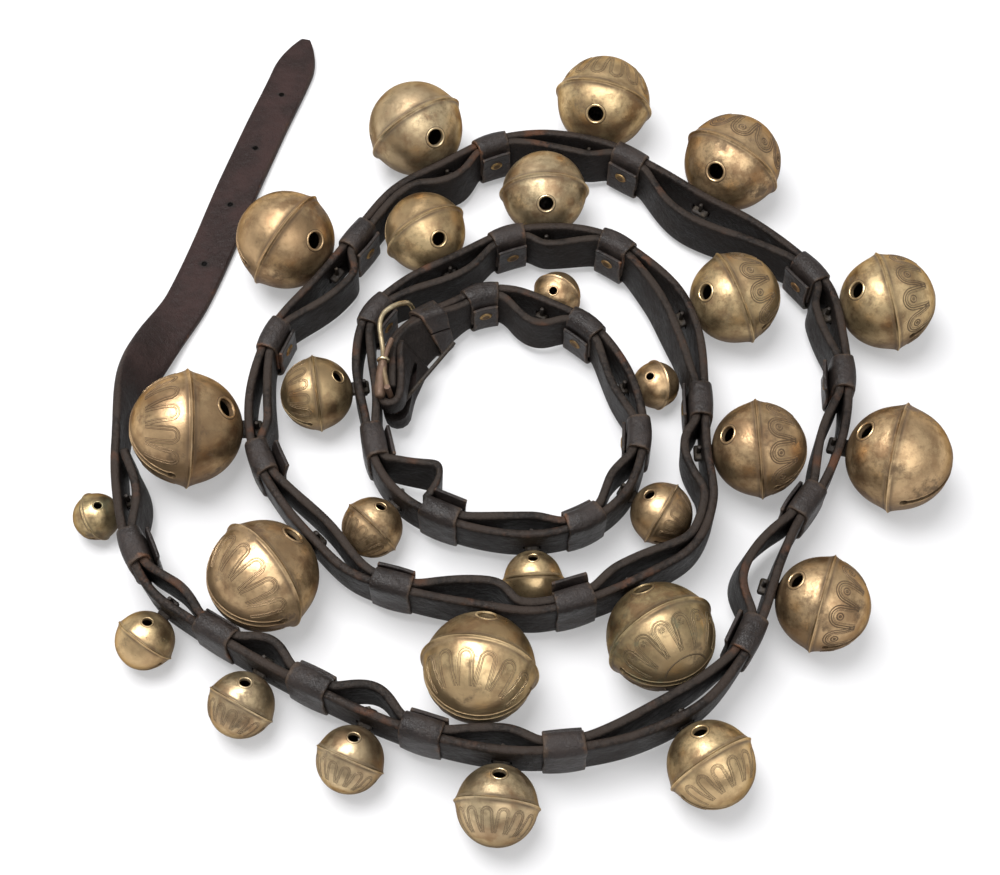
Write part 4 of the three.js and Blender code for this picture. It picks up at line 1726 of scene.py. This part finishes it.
KEEPERS = [
    Keeper(378, 11, 2.5, 2), Keeper(444, 10, 0, -1, 0.72), Keeper(498, 8), Keeper(557, 9, 1, 1),
    Keeper(625, 8), Keeper(738, 10, 1.5, 1), Keeper(819, 9, 1, -1), Keeper(902, 12, 3, -2),
    Keeper(974, 9, 1, 1), Keeper(1101, 8), Keeper(1187, 9, 0.8), Keeper(1291, 10, 1.2, 1),
    Keeper(1371, 9), Keeper(1450, 12, 3.5, 3), Keeper(1554, 10, 1.5, -1), Keeper(1646, 13, 3, 1),
    Keeper(1801, 11, 1.5, 1), Keeper(1920, 8), Keeper(1985, 9, 0.8), Keeper(2076, 9, 1),
    Keeper(2162, 10, 1.5, 1), Keeper(2221, 13, 3, 1), Keeper(2297, 9), Keeper(2360, 8),
    Keeper(2438, 8), Keeper(2502, 8),
]


@dataclass
class KeeperSet:
    """The leather keepers round both layers, each closed by a rivet through its lap."""

    length: float = 20 * MM
    wall: float = 1.9 * MM
    clear: float = 0.3 * MM
    crown: float = 0.9 * MM
    flare: float = 0.45 * MM
    bend: float = 5.0 * MM
    under_gap: float = 0.1 * MM
    lap_gap: float = 0.15 * MM
    tuck: float = 7 * MM
    lap_rise: float = 3 * MM
    lining_inner: float = 6.6 * MM
    rivet_long: float = 3.7 * MM
    rivet_wide: float = 2.7 * MM
    rivet_high: float = 1.1 * MM
    rivet_rise: float = 0.6 * MM

    def band(self, keeper: Keeper) -> Band:
        """Path of one keeper round the layers.

        Args:
            keeper: its facts.

        Returns:
            The band.
        """
        wall = self.wall * keeper.worn
        high = ROUTE.width / 2 + self.clear + wall / 2
        top = high + self.crown
        outer = -ROUTE.thickness / 2 - self.clear - wall / 2
        first = self.lining_inner + self.under_gap + wall / 2
        second = first + wall + self.lap_gap
        end = (second + keeper.flap_out * MM, keeper.flap_up * MM)
        return Band([(first, -self.tuck), (first, top), (outer, top), (outer, -high),
                     (second, -high), (second, self.lap_rise), end], self.bend)

    def rivet(self) -> bpy.types.Object:
        """Model the oval domed rivet.

        Returns:
            The model that the rivets are copied from, its face towards +Z.
        """
        pick()
        bpy.ops.mesh.primitive_uv_sphere_add(segments=20, ring_count=12, radius=1.0)
        made = fresh("rivet_model")
        bpy.ops.object.mode_set(mode="EDIT")
        bpy.ops.mesh.select_all(action="SELECT")
        bpy.ops.mesh.bisect(plane_co=(0, 0, -0.05), plane_no=(0, 0, 1), clear_inner=True,
                            use_fill=True)
        bpy.ops.object.mode_set(mode="OBJECT")
        places = points_of(made)
        flat = 1.0 - 0.25 * np.exp(-8.0 * (places[:, 0] ** 2 + places[:, 1] ** 2))
        places[:, 2] *= flat
        move_points(made, places * np.array([self.rivet_long, self.rivet_wide, self.rivet_high]))
        mark(made, "grime_and_painted_shade", 0.9 * (1.0 - smooth(np.hypot(places[:, 0], places[:, 1]), 0.5, 0.74)))
        tidy_mesh(made, 50.0)
        return made

    def build(self, leather: bpy.types.Material) -> None:
        """Make and dress the keepers and rivets.

        Args:
            leather: the keepers' finish.
        """
        brass = RIVET_BRASS.material()
        model = self.rivet()
        for number, keeper in enumerate(KEEPERS, 1):
            band = self.band(keeper)
            wall = self.wall * keeper.worn
            strip = band.strip(f"keeper_{number:02d}", self.length, wall)
            piece = band.wrap(strip, keeper.station * MM, keeper.skew * MM,
                              self.flare * keeper.worn ** 3)
            hang_on(piece, "strap", leather)
            rivet = twin_of(model, f"keeper_rivet_{number:02d}")
            depth = self.lining_inner + self.under_gap + self.lap_gap + 2 * wall
            spot = ROUTE.spot((keeper.station + 0.5 * keeper.skew) * MM, depth, self.rivet_rise)
            flat = Matrix.Diagonal((1.0, 1.0, keeper.worn ** 2, 1.0))
            rivet.data.transform(spot @ Matrix.Rotation(math.pi, 4, "X") @ flat)
            hang_on(rivet, "strap", brass)
        bpy.data.objects.remove(model)


# Buckle

@dataclass
class Buckle:
    """The wire frame on its bar, folded back outside the strap's end, and the tongue inside it."""

    half: float = 18.5 * MM
    wire: float = 1.35 * MM
    bar: float = 1.6 * MM
    rusty: tuple[float, float] = (22.0, 28.0)
    fold: float = 10.0
    tongue_fold: float = 28.0
    tongue_reach: float = 49 * MM
    tongue_radius: float = 1.2 * MM
    eye: float = 3.5 * MM
    room: float = 0.4 * MM
    upper_arm: tuple[Spot, ...] = (
        (0.0, 18.5, 0.0), (8.0, 18.5, -1.6), (16.0, 18.5, -2.8), (24.5, 18.5, -3.0),
        (39.0, 18.5, -5.0), (47.0, 18.3, -3.6), (52.0, 17.2, 0.5), (56.0, 14.5, 5.5),
        (58.5, 9.0, 9.5))
    lower_arm: tuple[Spot, ...] = (
        (58.5, -9.0, 10.0), (55.5, -15.5, 7.0), (48.5, -18.2, 1.5), (39.0, -18.5, 0.0),
        (20.0, -18.5, 0.0), (0.0, -18.5, 0.0))
    sleeve: tuple[Spot, ...] = ((-3.2, 14.6, -5.0), (18.0, 18.5, -2.9))
    sleeve_stops: tuple[tuple[float, float], ...] = (
        (0.0, 1.5), (0.02, 2.4), (0.1, 3.0), (0.3, 3.2), (0.6, 3.0), (0.85, 2.5), (0.97, 2.3),
        (1.0, 1.8))
    sleeve_dent: float = 0.12
    sleeve_scale: float = 330.0
    split: tuple[Spot, ...] = ((16.0, 18.5, -2.4), (24.0, 18.3, -0.6), (31.0, 17.6, 1.4))
    split_radius: float = 1.4 * MM
    ring: Spot = (17.5, 18.5, -2.7)
    ring_radius: float = 2.5 * MM
    ring_wire: float = 0.9 * MM

    def __post_init__(self) -> None:
        """Find the bar, and the directions of the frame and the tongue."""
        hinge = JOINTS["buckle_frame_fold"]
        self.middle = Vector(hinge["pos_m"])
        self.across = Vector(hinge["axis"])
        along, _, outward = ROUTE.spot(ROUTE.length).to_3x3().transposed()
        turn, swing = math.radians(self.fold), math.radians(self.tongue_fold)
        self.out = outward * math.sin(turn) - along * math.cos(turn)
        self.inner = self.out.cross(self.across)
        self.reach = -outward * math.sin(swing) - along * math.cos(swing)
        self.rise = along * math.sin(swing) - outward * math.cos(swing)

    def at(self, out: float, side: float, inward: float = 0.0) -> Vector:
        """Point of the frame by its distance from the bar, along it and towards the coil."""
        return self.middle + self.out * out + self.across * side + self.inner * inward

    def trace(self, spots: Iterable[Spot]) -> Line:
        """Points of the frame from spots in millimetres."""
        return [self.at(out * MM, side * MM, inward * MM) for out, side, inward in spots]

    def frame_piece(self) -> bpy.types.Object:
        """Bend the wire bow, whose far end follows the strap's curve.

        Returns:
            The bow.
        """
        spots = self.trace(self.upper_arm + self.lower_arm)
        made = wires("buckle_bow", [through(spots)], self.wire, False, 3)
        places = points_of(made)
        far = [(Vector(p) - self.middle).dot(self.out) / MM for p in places]
        mark(made, "grime_and_painted_shade", 0.8 * (1.0 - smooth(np.array(far), *self.rusty)))
        tidy_mesh(made)
        return made

    def bar_piece(self) -> bpy.types.Object:
        """Model the iron bar.

        Returns:
            The bar.
        """
        line = [self.at(0, -self.half - self.wire), self.at(0, self.half + self.wire)]
        made = wires("buckle_bar", [line], self.bar, False, 3)
        tidy_mesh(made)
        return made

    def sleeve_piece(self) -> bpy.types.Object:
        """Model the rusty iron sleeve on the frame's upper arm, with its split end.

        Returns:
            The sleeve.
        """
        low, high = self.trace(self.sleeve)
        run, stops = high - low, self.sleeve_stops
        pick()
        bpy.ops.mesh.primitive_circle_add(vertices=20, radius=stops[0][1] * MM, fill_type="NGON")
        sleeve = fresh("buckle_sleeve")
        bpy.ops.object.mode_set(mode="EDIT")
        bpy.ops.mesh.select_all(action="SELECT")
        for (at, radius), (on, wide) in zip(stops, stops[1:]):
            bpy.ops.mesh.extrude_region_move(
                TRANSFORM_OT_translate={"value": (0.0, 0.0, (on - at) * run.length)})
            bpy.ops.transform.resize(value=(wide / radius, wide / radius, 1.0))
        bpy.ops.object.mode_set(mode="OBJECT")
        finish_with(sleeve, "SUBSURF", levels=1, render_levels=1)
        places = points_of(sleeve)
        rough = [noise.noise(Vector(p) * self.sleeve_scale) for p in places]
        places[:, :2] *= 1.0 + self.sleeve_dent * np.array(rough)[:, None]
        move_points(sleeve, places)
        place = run.to_track_quat("Z", "Y").to_matrix().to_4x4()
        place.translation = low
        sleeve.data.transform(place)
        split = wires("sleeve_split", [self.trace(self.split)], self.split_radius, False, 3)
        made = joined("buckle_sleeve", [sleeve, split])
        tidy_mesh(made, 60.0)
        return made

    def ring_piece(self) -> bpy.types.Object:
        """Model the bright ring round the upper arm.

        Returns:
            The ring.
        """
        place = self.trace([self.ring])[0]
        ring = hoop("buckle_ring", 28, self.ring_radius, self.ring_wire, place, self.out)
        tidy_mesh(ring)
        return ring

    def tongue_piece(self) -> bpy.types.Object:
        """Model the tongue: an eye round the bar and a prong inside the coil.

        Returns:
            The tongue.
        """
        middle = (self.eye + self.bar + self.room) / 2
        ring = [self.middle + self.reach * middle * math.cos(math.tau * step / 24)
                + self.rise * middle * math.sin(math.tau * step / 24) for step in range(24)]
        eye = wires("tongue_eye", [ring], (self.eye - self.bar - self.room) / 2, True, 2)
        face = self.eye - self.tongue_radius
        prong = wires("tongue_prong", [[self.middle + self.reach * self.tongue_reach * k / 12
                                        + self.rise * face for k in range(13)]],
                      self.tongue_radius, False, 3)
        made = joined("buckle_tongue_iron", [eye, prong])
        tidy_mesh(made)
        return made

    def build(self) -> None:
        """Make and dress the buckle."""
        brass, iron = BUCKLE_BRASS.material(), TONGUE_IRON.material()
        hang_on(self.frame_piece(), "buckle_frame", brass, ["buckle_frame"])
        hang_on(self.ring_piece(), "buckle_frame", brass)
        hang_on(self.bar_piece(), "buckle_frame", iron)
        hang_on(self.sleeve_piece(), "buckle_frame", iron)
        hang_on(self.tongue_piece(), "buckle_tongue", PIN_IRON.material(),
                ["buckle_tongue"])


# Studio

@dataclass(frozen=True)
class Lamp:
    """A soft square lamp: its name, place, side and power in watts."""

    name: str
    place: Spot
    size: float
    power: float


LAMPS = [Lamp("key_lamp", (-0.3, 0.14, 1.2), 0.8, 24.0),
         Lamp("fill_lamp", (0.35, -0.75, 1.05), 0.9, 4.5)]


@dataclass
class Studio:
    """A plain pale floor, soft light from above and the camera."""

    target: Vector = field(default_factory=lambda: Vector((-0.0088, -0.0308, 0.0)))
    eye: Vector = field(default_factory=lambda: Vector((-0.0088, -0.424, 0.7093)))
    lens: float = 54.0
    sensor: float = 36.0
    clip: tuple[float, float] = (0.01, 50.0)
    floor_size: float = 8.0
    floor_drop: float = 0.0007
    floor_tone: Colour = (0.66, 0.656, 0.668)
    floor_glow: float = 1.05
    floor_fade: tuple[float, float, float, float] = (0.5, 1.3, 0.3, 1.0)
    sky: tuple[float, float, float, float] = (-0.05, 0.9, 0.15, 0.62)
    horizon: tuple[float, float, float, float] = (0.1, 0.26, 1.03, 0.0)
    sky_tone: Colour = (0.98, 0.99, 1.0)

    def floor(self) -> None:
        """Lay the pale floor, which keeps the shadows."""
        pick()
        bpy.ops.mesh.primitive_plane_add(size=self.floor_size,
                                         location=(0.0, 0.0, -self.floor_drop))
        ground = settle(fresh("floor"))
        shader = Shader("pale_floor")
        tree = shader.tree
        output = tree.nodes["Material Output"]
        shader.dress(Base_Color=self.floor_tone, Roughness=0.85)
        path = tree.nodes.new("ShaderNodeLightPath")
        seen = shader.sum("MAXIMUM", path.outputs["Is Camera Ray"],
                          path.outputs["Is Transmission Ray"])
        seen = shader.sum("MAXIMUM", seen, path.outputs["Is Glossy Ray"])
        lift = shader.node("ShaderNodeEmission",
                           {"Color": (1.0, 1.0, 1.0), "Strength": self.floor_glow})
        away = shader.node("ShaderNodeVectorMath", {0: shader.place}, operation="LENGTH")
        share = shader.ramp(away.outputs["Value"], *self.floor_fade)
        mix = shader.node("ShaderNodeMixShader", {
            0: shader.sum("MULTIPLY", seen, share), 1: shader.surface.outputs[0],
            2: lift.outputs[0]})
        tree.links.new(mix.outputs[0], output.inputs["Surface"])
        ground.data.materials.append(shader.material)

    def world(self) -> None:
        """Fill with soft light, dimmer towards the horizon, where the background is white."""
        world = bpy.data.worlds.new("studio")
        bpy.context.scene.world = world
        world.use_nodes = True
        tree = world.node_tree
        tree.nodes.clear()
        make, link = tree.nodes.new, tree.links.new
        coords, split = make("ShaderNodeTexCoord"), make("ShaderNodeSeparateXYZ")
        link(coords.outputs["Generated"], split.inputs[0])
        spans = []
        for limits in (self.sky, self.horizon):
            span = make("ShaderNodeMapRange")
            link(split.outputs["Z"], span.inputs[0])
            for place, value in enumerate(limits, 1):
                span.inputs[place].default_value = value
            spans.append(span.outputs[0])
        path = make("ShaderNodeLightPath")
        seen = path.outputs["Is Camera Ray"]
        for operation, other in (("MAXIMUM", path.outputs["Is Glossy Ray"]),
                                 ("MAXIMUM", path.outputs["Is Transmission Ray"]),
                                 ("MULTIPLY", spans[1]), ("MAXIMUM", spans[0])):
            step = make("ShaderNodeMath")
            step.operation = operation
            link(seen, step.inputs[0])
            link(other, step.inputs[1])
            seen = step.outputs[0]
        fill, output = make("ShaderNodeBackground"), make("ShaderNodeOutputWorld")
        fill.inputs["Color"].default_value = (*self.sky_tone, 1.0)
        link(seen, fill.inputs["Strength"])
        link(fill.outputs[0], output.inputs["Surface"])

    def aim(self, piece: bpy.types.Object, place: Sequence[float]) -> None:
        """Put a lamp or the camera in its place, aimed at the coil.

        Args:
            piece: the lamp or camera.
            place: where it hangs.
        """
        piece.location = place
        piece.rotation_euler = (self.target - Vector(place)).to_track_quat("-Z", "Y").to_euler()
        bpy.context.scene.collection.objects.link(piece)

    def build(self) -> None:
        """Set up the floor, the light and the camera."""
        bpy.context.scene.view_settings.view_transform = "Standard"
        self.floor()
        self.world()
        for lamp in LAMPS:
            light = bpy.data.lights.new(lamp.name, "AREA")
            light.shape, light.size, light.energy = "SQUARE", lamp.size, lamp.power
            self.aim(bpy.data.objects.new(lamp.name, light), lamp.place)
        lens = bpy.data.cameras.new("camera")
        lens.lens, lens.sensor_width, lens.sensor_fit = self.lens, self.sensor, "HORIZONTAL"
        lens.clip_start, lens.clip_end = self.clip
        camera = bpy.data.objects.new("camera", lens)
        self.aim(camera, self.eye)
        bpy.context.scene.camera = camera


def write_sizes() -> None:
    """Bring the scene's placements up to date."""
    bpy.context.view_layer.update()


def main() -> None:
    """Build every sub-assembly in order."""
    logging.basicConfig(level=logging.INFO, format="%(name)s %(message)s")
    row = BellRow()
    keeper_look = KEEPER_LEATHER.material()
    Straps().build(row, keeper_look)
    KeeperSet().build(keeper_look)
    row.build()
    Buckle().build()
    Studio().build()
    pick()
    write_sizes()


if __name__ == "__main__":
    main()
